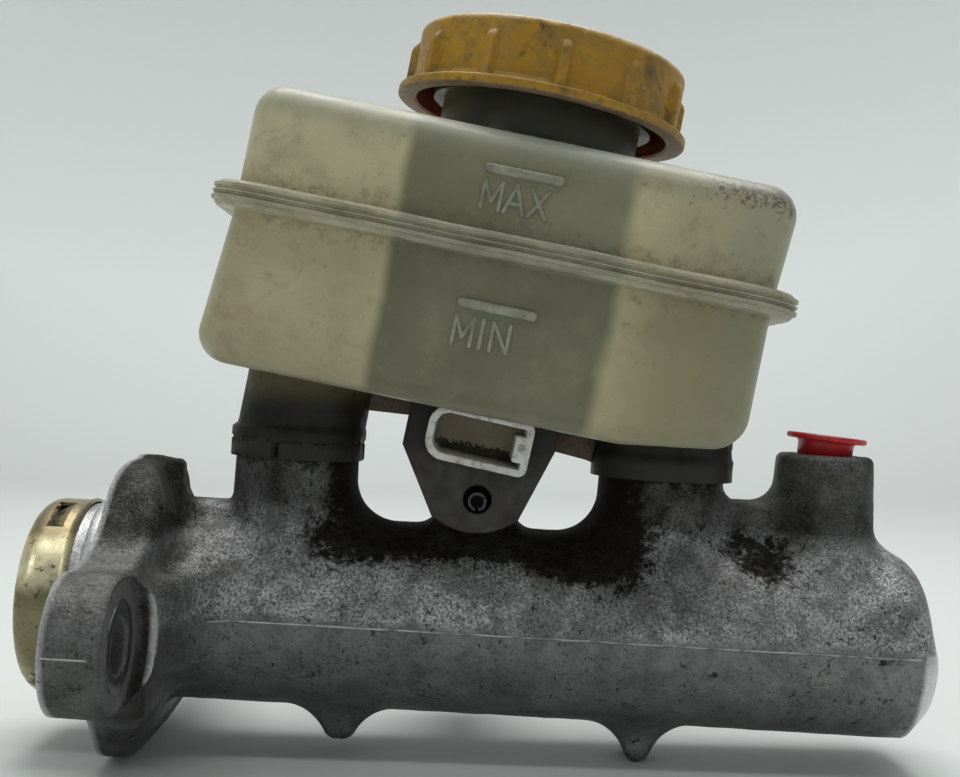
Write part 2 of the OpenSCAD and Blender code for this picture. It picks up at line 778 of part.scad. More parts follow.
module reservoir_upper() color("beige") in_tank() difference() {
    union() {
        intersection() {
            tank_block(0);
            above(belt_z);
        }
        belt(belt_z, 2.3);
        translate([neck_x, 0, 0]) rotate_extrude() polygon([
            [0, tank_roof - 1], [neck_r, tank_roof - 1], [neck_r, neck_thread_z - 1.6],
            [neck_thread_r, neck_thread_z], [neck_thread_r, neck_top_z], [0, neck_top_z]
        ]);
    }
    intersection() {
        tank_chambers();
        above(belt_z - 1);
    }
    translate([neck_x, 0, tank_roof - 8]) cylinder(r = neck_bore_r, h = 40);
}

module sensor_sleeve() color("ivory") difference() {
    sleeve_slug(0, sleeve_y[0], sleeve_y[1]);
    sleeve_slug(sleeve_wall, sleeve_y[0] - 1, sleeve_y[1] - sleeve_wall);
}

module spring_pin() color("gray") translate([pin_hole_x, -pin_len / 2, pin_hole_z])
    rotate([-90, 0, 0]) difference() {
        ring(spring_pin_r, pin_hollow_r, pin_len);
        translate([-0.4, 0, -1]) cube([0.8, 5, pin_len + 2]);
    }

// ---- Level float ----

module float() color("whitesmoke") in_tank() translate([float_x, 0, float_z]) difference() {
    translate([0, 0, float_size[2] / 2]) cube(float_size, center = true);
    translate([0, 0, -1]) cylinder(r = magnet_r, h = magnet_h + 1);
}
module float_magnet() color("dimgray") in_tank() translate([float_x, 0, float_z])
    cylinder(r = magnet_r, h = magnet_h);

// ---- Filler neck ----

module strainer() color("whitesmoke") in_tank() translate([neck_x, 0, 0]) difference() {
    rotate_extrude() difference() {
        union() {
            band(0, strainer_rim_r, neck_top_z, neck_top_z + strainer_t);
            band(0, neck_bore_r - 0.3, strainer_low_z, neck_top_z + 0.1);
        }
        band(-1, neck_bore_r - 0.3 - strainer_wall, strainer_low_z + 1, neck_top_z + 2);
        band(-30, 0, 0, 200);
    }
    for (i = [0:5]) rotate(60 * i) translate([0, -5, strainer_low_z + 3]) cube([30, 10, 10]);
}

module cap_gasket() color("dimgray") in_tank() translate([neck_x, 0, gasket_z])
    cylinder(r = gasket_r, h = gasket_t);

module filler_cap() color("gold") in_tank() translate([neck_x, 0, rim_z]) difference() {
    union() {
        rotate_extrude() difference() {
            union() {
                band(0, cap_lip_d / 2, 0, cap_lip_t);
                band(0, cap_d / 2, 1, cap_h - cap_edge_r);
                band(0, cap_d / 2 - cap_edge_r, 1, cap_h);
                translate([cap_d / 2 - cap_edge_r, cap_h - cap_edge_r]) circle(r = cap_edge_r);
            }
            band(-30, 0, -30, 30);
        }
        for (i = [0:cap_ribs - 1]) rotate(grip_turn + i * 360 / cap_ribs) {
            translate([cap_d / 2 - 1, -grip_w / 2, 1]) cube([2.2, grip_w, cap_h - 6.2]);
            translate([cap_d / 2 - 1, 0, cap_h - 5.2]) rotate([0, 90, 0])
                cylinder(r = grip_w / 2, h = 2.2);
        }
    }
    translate([0, 0, -1]) cylinder(r = cap_inner_r, h = gasket_z + gasket_t - rim_z + 1);
}

cylinder_body();
mounting_flange();
rear_boss();
front_boss();
boss_web();
front_outlet_boss();
side_outlet_boss();
tongue_lug();
rear_foot();
front_foot();
stopper_cap();
stopper_pin();
rear_reservoir_seal();
front_reservoir_seal();
primary_piston();
primary_rear_cup();
primary_front_cup();
primary_cup_retainer();
primary_spring_screw();
primary_spring_seat();
primary_spring();
secondary_piston();
secondary_rear_cups();
secondary_front_cup();
secondary_cup_retainer();
secondary_spring();
front_outlet_plug();
side_outlet_plug();
reservoir_lower();
reservoir_upper();
rear_nozzle();
front_nozzle();
near_tongue();
far_tongue();
tongue_web();
sensor_sleeve();
spring_pin();
float();
float_magnet();
strainer();
cap_gasket();
filler_cap();
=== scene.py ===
import math

import bmesh
import bpy
import numpy as np
from mathutils import Matrix, Vector


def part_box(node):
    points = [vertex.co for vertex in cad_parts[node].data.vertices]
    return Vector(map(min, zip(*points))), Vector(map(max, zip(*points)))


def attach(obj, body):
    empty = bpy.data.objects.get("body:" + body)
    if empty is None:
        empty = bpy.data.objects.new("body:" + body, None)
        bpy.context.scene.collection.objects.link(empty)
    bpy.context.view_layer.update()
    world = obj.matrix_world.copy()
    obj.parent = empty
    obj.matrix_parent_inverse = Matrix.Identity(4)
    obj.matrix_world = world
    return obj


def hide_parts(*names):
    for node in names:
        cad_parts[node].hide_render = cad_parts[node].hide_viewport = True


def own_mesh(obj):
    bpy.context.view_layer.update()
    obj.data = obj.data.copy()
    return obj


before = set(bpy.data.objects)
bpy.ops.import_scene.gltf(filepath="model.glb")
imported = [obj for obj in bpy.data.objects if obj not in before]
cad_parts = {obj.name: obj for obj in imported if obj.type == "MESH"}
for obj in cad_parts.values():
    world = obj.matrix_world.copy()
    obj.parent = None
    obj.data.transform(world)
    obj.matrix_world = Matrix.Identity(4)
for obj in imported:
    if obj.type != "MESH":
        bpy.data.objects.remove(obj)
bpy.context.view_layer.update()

# Every size below is in millimetres in the frame's own axes, and becomes metres when a mesh is made.
MM = 0.001


def span(*nodes):
    """Lowest and highest corner of some CAD nodes together, in millimetres."""
    lows, highs = zip(*(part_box(n) for n in nodes))
    return np.min(lows, 0) / MM, np.max(highs, 0) / MM


def middle(node):
    low, high = span(node)
    return (low + high) / 2


TILT = math.radians(8.3)  # the reservoir leans this much about Y, front end down
TANK = Matrix.Rotation(TILT, 4, "Y")

BODY_LO, BODY_HI = span("cylinder_body")
BARREL_R = 18.0
BORE_R = 11.9
BORE_END = 140.0
SPIGOT_R = BODY_HI[2]
END_X = BODY_HI[0]
MOUTH_X = BODY_LO[0]
REAR_X = middle("rear_boss")[0]
FRONT_X = middle("front_boss")[0]
BOSS_TOP = span("rear_boss")[1][2]
REAR_R, FRONT_R = 11.8, 12.0
OUTLET_X = middle("front_outlet_plug")[0]
OUTLET_TOP = span("front_outlet_boss")[1][2]
SIDE_X = middle("side_outlet_plug")[0]
SIDE_END = span("side_outlet_boss")[1][1]
LUG_X = middle("tongue_lug")[0]
LUG_TOP = span("tongue_lug")[1][2]
EAR_Y = 45.0
EAR_R = span("mounting_flange")[1][1] - EAR_Y
PIN = middle("spring_pin")
REAR_FOOT, FRONT_FOOT = middle("rear_foot")[0], middle("front_foot")[0]
REAR_FOOT_Z, FRONT_FOOT_Z = span("rear_foot")[0][2], span("front_foot")[0][2]

# The reservoir, in its own tilted axes
TANK_X0, TANK_X1 = 9.2, 105.3
TANK_FLOOR, TANK_ROOF = 49.0, 99.0
TANK_HALF = 30.3
TANK_WALL = 2.2
TANK_PLAN_R = 5
BELT = 78.2  # height of the weld
KNEE = 83.5  # the floor rises from here to the front
ROOM_WALLS = (37.7, 77.5)
NECK_X, NECK_R, NECK_BORE = 59.0, 19.3, 17.3
COLLAR_R, COLLAR_LOW, COLLAR_TOP = 21.4, 107.6, 115.0
CAP_Z = 106.4


# ---- Numbers on arrays ----

def smooth(v, low, high):
    t = np.clip((v - low) / (high - low), 0.0, 1.0)
    return t * t * (3 - 2 * t)


def mix(a, b, t):
    return a + (b - a) * t


def both(first, *others):
    """Where all the fields are."""
    for other in others:
        first = np.maximum(first, other)
    return first


def cut(field, tool):
    return np.maximum(field, -tool)


def rmax(a, b, r):
    """Both fields at once, with the outside edge rounded to radius r."""
    u, v = a + r, b + r
    return np.hypot(np.maximum(u, 0), np.maximum(v, 0)) + np.minimum(np.maximum(u, v), 0) - r


def rmin(a, b, r):
    """Either field, with the inside corner filled to radius r."""
    return -rmax(-a, -b, r)


def hashed(ix, iy, iz, seed):
    h = (ix * 73856093) ^ (iy * 19349663) ^ (iz * 83492791) ^ (seed * 2654435)
    h = (h ^ (h >> 13)) * 1274126177 & 0x7FFFFFFF
    return ((h ^ (h >> 16)) & 0xFFFF) / 32767.5 - 1.0


def lumps(p, size, seed):
    """Smooth noise between -1 and 1 at points p, with lumps about size across."""
    q = p / size
    i = np.floor(q).astype(np.int64)
    f = q - i
    f = f * f * (3 - 2 * f)
    total = np.zeros(len(p))
    for dx in (0, 1):
        for dy in (0, 1):
            for dz in (0, 1):
                weight = (
                    np.abs(1 - dx - f[:, 0]) * np.abs(1 - dy - f[:, 1]) * np.abs(1 - dz - f[:, 2])
                )
                total += weight * hashed(i[:, 0] + dx, i[:, 1] + dy, i[:, 2] + dz, seed)
    return total


# ---- Meshes from fields ----

def gradient(field, p):
    e = 0.02
    g = np.empty_like(p)
    for a in range(3):
        d = np.zeros(3)
        d[a] = e
        q, w = p + d, p - d
        g[:, a] = field(q[:, 0], q[:, 1], q[:, 2]) - field(w[:, 0], w[:, 1], w[:, 2])
    return g / (2 * e)


def contour(field, low, high, step):
    """Closed quad mesh where the field is 0, with its sharp edges kept (dual contouring)."""
    low, high = np.array(low, float), np.array(high, float)
    n = np.ceil((high - low) / step).astype(int) + 1
    axes = [low[a] + step * np.arange(n[a]) for a in range(3)]
    value = np.empty(n)
    for i in range(0, n[0], 12):
        grid = np.meshgrid(axes[0][i:i + 12], axes[1], axes[2], indexing="ij")
        value[i:i + 12] = field(*grid)
    inside = value < 0
    strides = np.array([n[1] * n[2], n[2], 1])
    cells, points, normals, edges = [], [], [], []
    for a in range(3):
        near = tuple(slice(0, -1) if k == a else slice(None) for k in range(3))
        far = tuple(slice(1, None) if k == a else slice(None) for k in range(3))
        at = np.argwhere(inside[near] != inside[far])
        b, c = (a + 1) % 3, (a + 2) % 3
        at = at[(at[:, b] > 0) & (at[:, c] > 0) & (at[:, b] < n[b] - 1) & (at[:, c] < n[c] - 1)]
        start = low + at * step
        unit = np.zeros(3)
        unit[a] = step
        v0 = value[tuple(at.T)]
        after = at.copy()
        after[:, a] += 1
        v1 = value[tuple(after.T)]
        starts_inside = v0 < 0
        t0, t1 = np.zeros(len(at)), np.ones(len(at))
        t = v0 / (v0 - v1)
        for _ in range(3):
            p = start + t[:, None] * unit
            v = field(p[:, 0], p[:, 1], p[:, 2])
            same = (v < 0) == starts_inside
            t0, v0 = np.where(same, t, t0), np.where(same, v, v0)
            t1, v1 = np.where(same, t1, t), np.where(same, v1, v)
            t = np.clip(t0 + (t1 - t0) * v0 / np.where(v0 == v1, 1, v0 - v1), t0, t1)
        p = start + t[:, None] * unit
        g = gradient(field, p)
        g /= np.maximum(np.linalg.norm(g, axis=1), 1e-9)[:, None]
        first = at @ strides
        ring = [0, strides[b], strides[b] + strides[c], strides[c]]
        quad = np.stack([first - k for k in ring], 1)
        quad[~starts_inside] = quad[~starts_inside][:, ::-1]
        edges.append(quad)
        for k in ring:
            cells.append(first - k)
            points.append(p)
            normals.append(g)
    cells, points, normals = map(np.concatenate, (cells, points, normals))
    used, which = np.unique(cells, return_inverse=True)
    count = np.bincount(which).astype(float)

    def total(v):
        return np.bincount(which, v, len(used))

    centre = np.stack([total(points[:, a]) for a in range(3)], 1) / count[:, None]
    along = np.einsum("ij,ij->i", normals, points - centre[which])
    matrix = np.empty((len(used), 3, 3))
    side = np.empty((len(used), 3))
    for i in range(3):
        side[:, i] = total(normals[:, i] * along)
        for j in range(3):
            matrix[:, i, j] = total(normals[:, i] * normals[:, j])
    matrix += np.eye(3) * 0.06
    vertices = centre + np.linalg.solve(matrix, side[:, :, None])[:, :, 0]
    corner = low + step * np.stack(np.unravel_index(used, n), 1)
    vertices = np.clip(vertices, corner - 0.05 * step, corner + 1.05 * step)
    for _ in range(2):
        v = field(vertices[:, 0], vertices[:, 1], vertices[:, 2])
        g = gradient(field, vertices)
        move = -v[:, None] * g / np.maximum((g * g).sum(1), 0.2)[:, None]
        vertices += np.clip(move, -0.25 * step, 0.25 * step)
    quads = np.searchsorted(used, np.concatenate(edges))
    return vertices, quads


# ---- Meshes from profiles ----

def grid(rows, columns, wrap_rows=False, wrap_columns=True, flip=False):
    """Quads over points numbered row by row."""
    faces = []
    for i in range(rows if wrap_rows else rows - 1):
        here, there = i * columns, (i + 1) % rows * columns
        for k in range(columns if wrap_columns else columns - 1):
            m = (k + 1) % columns
            quad = (here + k, here + m, there + m, there + k)
            faces.append((quad[0], *quad[:0:-1]) if flip else quad)
    return faces


def rounded(points, radii, n=5, closed=True):
    """The path with each corner replaced by an arc of its own radius."""
    pts = [np.array(p, float) for p in points]
    out = []
    for i, p in enumerate(pts):
        r = radii[i] if hasattr(radii, "__len__") else radii
        if r <= 0 or (not closed and i in (0, len(pts) - 1)):
            out.append(p)
            continue
        u = pts[i - 1] - p
        w = pts[(i + 1) % len(pts)] - p
        u /= np.linalg.norm(u)
        w /= np.linalg.norm(w)
        half = math.acos(max(-1, min(1, float(u @ w)))) / 2
        mid = (u + w) / np.linalg.norm(u + w)
        centre = p + mid * r / math.sin(half)
        start, end = p + u * r / math.tan(half) - centre, p + w * r / math.tan(half) - centre
        for k in range(n + 1):
            d = start * (n - k) + end * k
            out.append(centre + r * d / np.linalg.norm(d))
    return np.array(out)


def lathe(profile, segments, closed=True, push=None):
    """Turns a profile of (radius, height) about Z. push(angles, heights, radii) may give new radii."""
    profile = np.array(profile, float)
    angles = np.arange(segments) * 2 * math.pi / segments
    r = np.repeat(profile[:, :1], segments, 1)
    h = np.repeat(profile[:, 1:], segments, 1)
    if push:
        r = push(np.repeat(angles[None], len(profile), 0), h, r)
    verts = np.stack([r * np.cos(angles), r * np.sin(angles), h], 2).reshape(-1, 3)
    return verts, grid(len(profile), segments, wrap_rows=closed)


def about_x(v):
    """Turned about Z becomes turned about the bore."""
    return v[:, [2, 0, 1]]


def capped(rows, sides):
    """Faces of a tube of rows with both ends closed."""
    last = (rows - 1) * sides
    ends = [tuple(range(sides - 1, -1, -1)), tuple(range(last, last + sides))]
    return grid(rows, sides) + ends


def sweep(path, radius, sides):
    """Round tube along a path of points, closed at both ends."""
    path = np.array(path, float)
    tangent = np.gradient(path, axis=0)
    tangent /= np.linalg.norm(tangent, axis=1)[:, None]
    normal = np.cross(tangent[0], [0.3, 0.2, 0.93])
    verts = []
    for i, (p, t) in enumerate(zip(path, tangent)):
        normal = normal - t * (normal @ t)
        normal /= np.linalg.norm(normal)
        other = np.cross(t, normal)
        r = radius[i] if hasattr(radius, "__len__") else radius
        for k in range(sides):
            a = 2 * math.pi * k / sides
            verts.append(p + r * (math.cos(a) * normal + math.sin(a) * other))
    return np.array(verts), capped(len(path), sides)


def join(*parts):
    """Several (vertices, faces) pairs as one."""
    verts, faces, base = [], [], 0
    for v, f in parts:
        verts.append(np.asarray(v, float))
        faces += [tuple(int(i) + base for i in face) for face in f]
        base += len(v)
    return np.concatenate(verts), faces


def plate(loops, depth, bevel):
    """Flat plate with holes in X and Z, centred on Y = 0, with bevelled edges."""
    curve = bpy.data.curves.new("plate", "CURVE")
    curve.dimensions = "2D"
    curve.fill_mode = "BOTH"
    curve.extrude = (depth / 2 - bevel) * MM
    curve.bevel_depth = bevel * MM
    curve.bevel_resolution = 2
    curve.offset = -bevel * MM
    for loop in loops:
        line = curve.splines.new("POLY")
        line.points.add(len(loop) - 1)
        for point, (x, z) in zip(line.points, loop):
            point.co = (x * MM, z * MM, 0, 1)
        line.use_cyclic_u = True
    obj = bpy.data.objects.new("plate", curve)
    bpy.context.scene.collection.objects.link(obj)
    graph = bpy.context.evaluated_depsgraph_get()
    mesh = bpy.data.meshes.new_from_object(obj.evaluated_get(graph))
    bpy.data.objects.remove(obj)
    bpy.data.curves.remove(curve)
    bm = bmesh.new()
    bm.from_mesh(mesh)
    bmesh.ops.remove_doubles(bm, verts=bm.verts, dist=2e-6)
    bmesh.ops.recalc_face_normals(bm, faces=bm.faces)
    verts = np.array([v.co for v in bm.verts]) / MM
    faces = [tuple(v.index for v in f.verts) for f in bm.faces]
    bm.free()
    bpy.data.meshes.remove(mesh)
    return verts * [1, 1, -1] @ np.array([[1, 0, 0], [0, 0, 1], [0, 1, 0]]), faces


def piece(name, mesh, body, material, replaces=(), sharp=40, place=None, masks=None, parts=None):
    """Makes an object of (vertices in mm, faces) that rides on a body. masks are vertex attributes,
    parts a material index for each face."""
    verts, faces = mesh
    data = bpy.data.meshes.new(name)
    data.from_pydata((np.asarray(verts) * MM).tolist(), [], [list(map(int, f)) for f in faces])
    data.validate()
    for m in material if isinstance(material, (list, tuple)) else [material]:
        data.materials.append(m)
    if parts is not None:
        data.polygons.foreach_set("material_index", np.asarray(parts, np.int32))
    data.polygons.foreach_set("use_smooth", np.ones(len(data.polygons), bool))
    data.set_sharp_from_angle(angle=math.radians(sharp))
    for key, values in (masks or {}).items():
        layer = data.attributes.new(key, "FLOAT", "POINT")
        layer.data.foreach_set("value", np.asarray(values, np.float32))
    obj = bpy.data.objects.new(name, data)
    bpy.context.scene.collection.objects.link(obj)
    if place is not None:
        obj.matrix_world = place
    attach(obj, body)
    if replaces:
        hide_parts(*replaces)
    return obj


# ---- Materials ----

class Surface:
    """A Principled material and short ways to add procedural detail to it."""

    def __init__(self, name, **values):
        self.material = bpy.data.materials.new(name)
        self.material.use_nodes = True
        self.tree = self.material.node_tree
        self.shader = self.tree.nodes["Principled BSDF"]
        self.place = self.add("ShaderNodeTexCoord").outputs["Object"]
        for key, value in values.items():
            self.shader.inputs[key.replace("_", " ")].default_value = value

    def add(self, kind, **settings):
        node = self.tree.nodes.new(kind)
        for key, value in settings.items():
            setattr(node, key, value)
        return node

    def feed(self, socket, value):
        if hasattr(value, "is_output"):
            self.tree.links.new(value, socket)
        else:
            socket.default_value = value

    def spot(self, scale, stretch=(1, 1, 1), shift=(0, 0, 0)):
        """Place on the piece, in units of 1/scale metres, stretched along its axes."""
        node = self.add("ShaderNodeMapping")
        self.feed(node.inputs["Vector"], self.place)
        node.inputs["Scale"].default_value = [scale * s for s in stretch]
        node.inputs["Location"].default_value = shift
        return node.outputs["Vector"]

    def noise(self, size, detail=3.0, rough=0.55, warp=0.0, **where):
        """Noise with features about size millimetres across."""
        node = self.add("ShaderNodeTexNoise")
        self.feed(node.inputs["Vector"], self.spot(1 / (size * MM), **where))
        node.inputs["Scale"].default_value = 1.0
        node.inputs["Detail"].default_value = detail
        node.inputs["Roughness"].default_value = rough
        node.inputs["Distortion"].default_value = warp
        return node.outputs["Fac"]

    def fit(self, value, low, high, out_low=0.0, out_high=1.0, soft=True):
        node = self.add("ShaderNodeMapRange", interpolation_type="SMOOTHSTEP" if soft else "LINEAR")
        self.feed(node.inputs["Value"], value)
        for key, number in zip(("From Min", "From Max", "To Min", "To Max"), (low, high, out_low, out_high)):
            node.inputs[key].default_value = number
        return node.outputs["Result"]

    def cloud(self, size, detail=3.0, rough=0.55, low=0.3, high=0.7, most=1.0, warp=0.0, **where):
        """Noise as an amount: 0 where it is under low, most where it is over high."""
        return self.fit(self.noise(size, detail, rough, warp, **where), low, high, 0.0, most)

    def do(self, operation, a, b=0.0, c=0.0):
        node = self.add("ShaderNodeMath", operation=operation)
        for socket, value in zip(node.inputs, (a, b, c)):
            self.feed(socket, value)
        return node.outputs["Value"]

    def times(self, a, b):
        return self.do("MULTIPLY", a, b)

    def plus(self, a, b):
        return self.do("ADD", a, b)

    def blend(self, amount, a, b, kind="MIX"):
        """Colour a to colour b by amount."""
        node = self.add("ShaderNodeMix", data_type="RGBA", blend_type=kind)
        self.feed(node.inputs[0], amount)
        for socket, value in ((node.inputs[6], a), (node.inputs[7], b)):
            self.feed(socket, tuple(value) + (1,) if isinstance(value, tuple) and len(value) == 3 else value)
        return node.outputs[2]

    def mask(self, name):
        return self.add("ShaderNodeAttribute", attribute_name=name).outputs["Fac"]

    def along(self, axis):
        """Place along X, Y or Z in millimetres."""
        split = self.add("ShaderNodeSeparateXYZ")
        self.feed(split.inputs["Vector"], self.spot(1 / MM))
        return split.outputs[axis]

    def paint(self, colour):
        self.painted = colour
        self.feed(self.shader.inputs["Base Color"], colour)

    def coat(self, amount, colour, kind="MIX"):
        """Lays a colour over the paint by amount."""
        self.paint(self.blend(amount, self.painted, colour, kind))

    def rough(self, value):
        self.feed(self.shader.inputs["Roughness"], value)

    def bumps(self, *layers):
        """Each layer is (height from 0 to 1, depth in millimetres)."""
        last = None
        for height, depth in layers:
            node = self.add("ShaderNodeBump")
            node.inputs["Strength"].default_value = 1.0
            node.inputs["Distance"].default_value = depth * MM
            self.feed(node.inputs["Height"], height)
            if last is not None:
                self.feed(node.inputs["Normal"], last)
            last = node.outputs["Normal"]
        self.feed(self.shader.inputs["Normal"], last)


def cast_aluminium():
    s = Surface("cast_aluminium")
    grime_and_ledge_shade, machined_and_rim_highlight, upper, dull = (s.mask(name) for name in ("grime_and_ledge_shade", "machined_and_rim_highlight", "upper", "dull"))
    fleck = s.noise(0.5, 5, 0.68, warp=0.25)
    patch = s.noise(6.5, 6, 0.66, warp=0.5)
    wide = s.noise(24, 2, 0.5)
    # sand-cast upper half: soft light and dark grains, in brighter and duller clouds
    grain = s.fit(fleck, 0.38, 0.64, soft=False)
    skin = s.blend(grain, (0.13, 0.13, 0.127), (0.68, 0.70, 0.695))
    skin = s.blend(s.fit(patch, 0.60, 0.36, 0.0, 0.68), skin, (0.105, 0.104, 0.098))
    skin = s.blend(s.fit(wide, 0.62, 0.40, 0.0, 0.30), skin, (0.17, 0.17, 0.165))
    # smoother lower half
    low = s.blend(s.fit(patch, 0.3, 0.7), (0.13, 0.13, 0.127), (0.225, 0.227, 0.22))
    low = s.blend(s.cloud(1.6, 5, 0.7, 0.52, 0.75, 0.55), low, (0.075, 0.072, 0.065))
    low = s.blend(s.times(grain, 0.20), low, (0.40, 0.41, 0.40))
    s.paint(s.blend(upper, low, skin))
    s.coat(dull, (0.16, 0.155, 0.145), kind="MULTIPLY")
    specks = s.cloud(0.85, 6, 0.8, 0.55, 0.585, shift=(4, 1, 7))
    clumps = s.cloud(6.5, 6, 0.78, 0.46, 0.62, warp=1.2, shift=(2, 9, 3))
    specks = s.times(specks, s.fit(clumps, 0, 1, 0.25, 1))
    near_soot = s.times(s.fit(grime_and_ledge_shade, 0.04, 0.5), 0.11)
    spots = s.do("MULTIPLY_ADD", clumps, 0.06, s.noise(1.9, 6, 0.76, warp=0.8))
    spots = s.fit(s.plus(spots, near_soot), 0.625, 0.665)
    s.coat(s.times(s.do("MAXIMUM", spots, specks), 0.85), (0.013, 0.011, 0.009))
    ragged = s.plus(s.times(s.noise(3.6, 6, 0.72, warp=0.9), 1.7), s.noise(0.8, 5, 0.75))
    # soot follows the grime mask, which also holds the painted shade on the spot faces' walls
    soot = s.fit(s.do("MULTIPLY_ADD", grime_and_ledge_shade, 1.35, s.do("SUBTRACT", ragged, 1.35)), 0.40, 0.78)
    s.coat(s.times(soot, 0.94), (0.009, 0.0075, 0.006))
    metal = s.blend(s.fit(fleck, 0.3, 0.7), (0.50, 0.50, 0.50), (0.68, 0.68, 0.69))
    # bright metal where machined, and the painted highlight along each spot face's rim
    s.coat(machined_and_rim_highlight, metal)
    gloss = s.do("MULTIPLY_ADD", machined_and_rim_highlight, -0.10, s.fit(patch, 0.35, 0.65, 0.46, 0.34))
    s.rough(s.do("MULTIPLY_ADD", s.do("MAXIMUM", soot, s.times(dull, 0.9)), 0.30, gloss))
    s.feed(s.shader.inputs["Metallic"], s.fit(s.do("MAXIMUM", soot, dull), 0, 1, 0.78, 0.2))
    s.feed(s.shader.inputs["Specular IOR Level"], s.fit(s.do("MAXIMUM", soot, dull), 0.2, 1, 0.4, 0.07))
    keep = s.do("SUBTRACT", 1.0, machined_and_rim_highlight)
    s.bumps(
        (s.times(s.noise(4.5, 2, 0.5), keep), 0.30),
        (s.times(s.noise(1.2, 4, 0.72), keep), 0.34),
        (s.times(s.noise(0.42, 3, 0.6), s.times(keep, s.fit(upper, 0, 1, 0.3, 1))), 0.20),
    )
    return s.material


def stained(name, patches, dark, light, bump, dirt=None, dirt_colour=None, gloss=None, **values):
    """Dark and light patches under a layer of dirt. patches and dirt are clouds, bump is a noise and its
    depth in millimetres, and gloss a range of roughness."""
    s = Surface(name, **values)
    s.paint(s.blend(s.cloud(*patches), dark, light))
    if dirt:
        s.coat(s.cloud(*dirt), dirt_colour)
    if gloss:
        s.rough(s.fit(s.noise(2, 4), 0.3, 0.7, *gloss))
    *noise, depth = bump
    s.bumps((s.noise(*noise), depth))
    return s.material


def gold_zinc():
    s = Surface("gold_zinc", Metallic=0.9)
    patch = s.noise(5, 5, 0.65, warp=0.5)
    s.paint(s.blend(s.fit(patch, 0.3, 0.7), (0.86, 0.74, 0.42), (1.0, 0.93, 0.62)))
    rust = s.cloud(1.1, 6, 0.75, 0.58, 0.68)
    s.coat(s.times(rust, 0.85), (0.06, 0.042, 0.02))
    z = s.along("Z")
    # painted reflection and shade: a bright band across the cap's middle, painted dark below it, paler again
    # at the bottom and dark brown on top, with ragged edges
    painted_band_height = s.do("MULTIPLY_ADD", s.noise(5, 4, 0.6), 7.0, s.plus(z, -3.5))
    s.coat(s.fit(painted_band_height, 7.5, 2.5, 0, 0.88), (0.10, 0.085, 0.043))
    s.coat(s.fit(painted_band_height, -9, -14, 0, 0.55), (0.60, 0.53, 0.29))
    s.coat(s.fit(painted_band_height, 11, 14.5, 0, 0.80), (0.20, 0.14, 0.065))
    low = s.fit(z, -8, -18)
    mud = s.fit(s.plus(s.noise(1.7, 6, 0.75), s.times(low, 0.16)), 0.58, 0.66)
    s.coat(s.times(mud, 0.9), (0.045, 0.032, 0.02))
    s.rough(s.fit(s.noise(2.5, 5, 0.7), 0.3, 0.7, 0.24, 0.42))
    s.bumps((s.noise(0.8, 4, 0.7), 0.035), (s.noise(7, 2), 0.18))
    return s.material


def metal(name, dark, light, rough, grain=(1, 1, 1), size=0.6):
    s = Surface(name, Metallic=1.0)
    s.paint(s.blend(s.cloud(size, 4, 0.6, stretch=grain), dark, light))
    s.rough(s.fit(s.noise(size * 2, 4, 0.65, stretch=grain), 0.3, 0.7, rough - 0.08, rough + 0.12))
    s.bumps((s.noise(size, 3, 0.6, stretch=grain), 0.03))
    return s.material


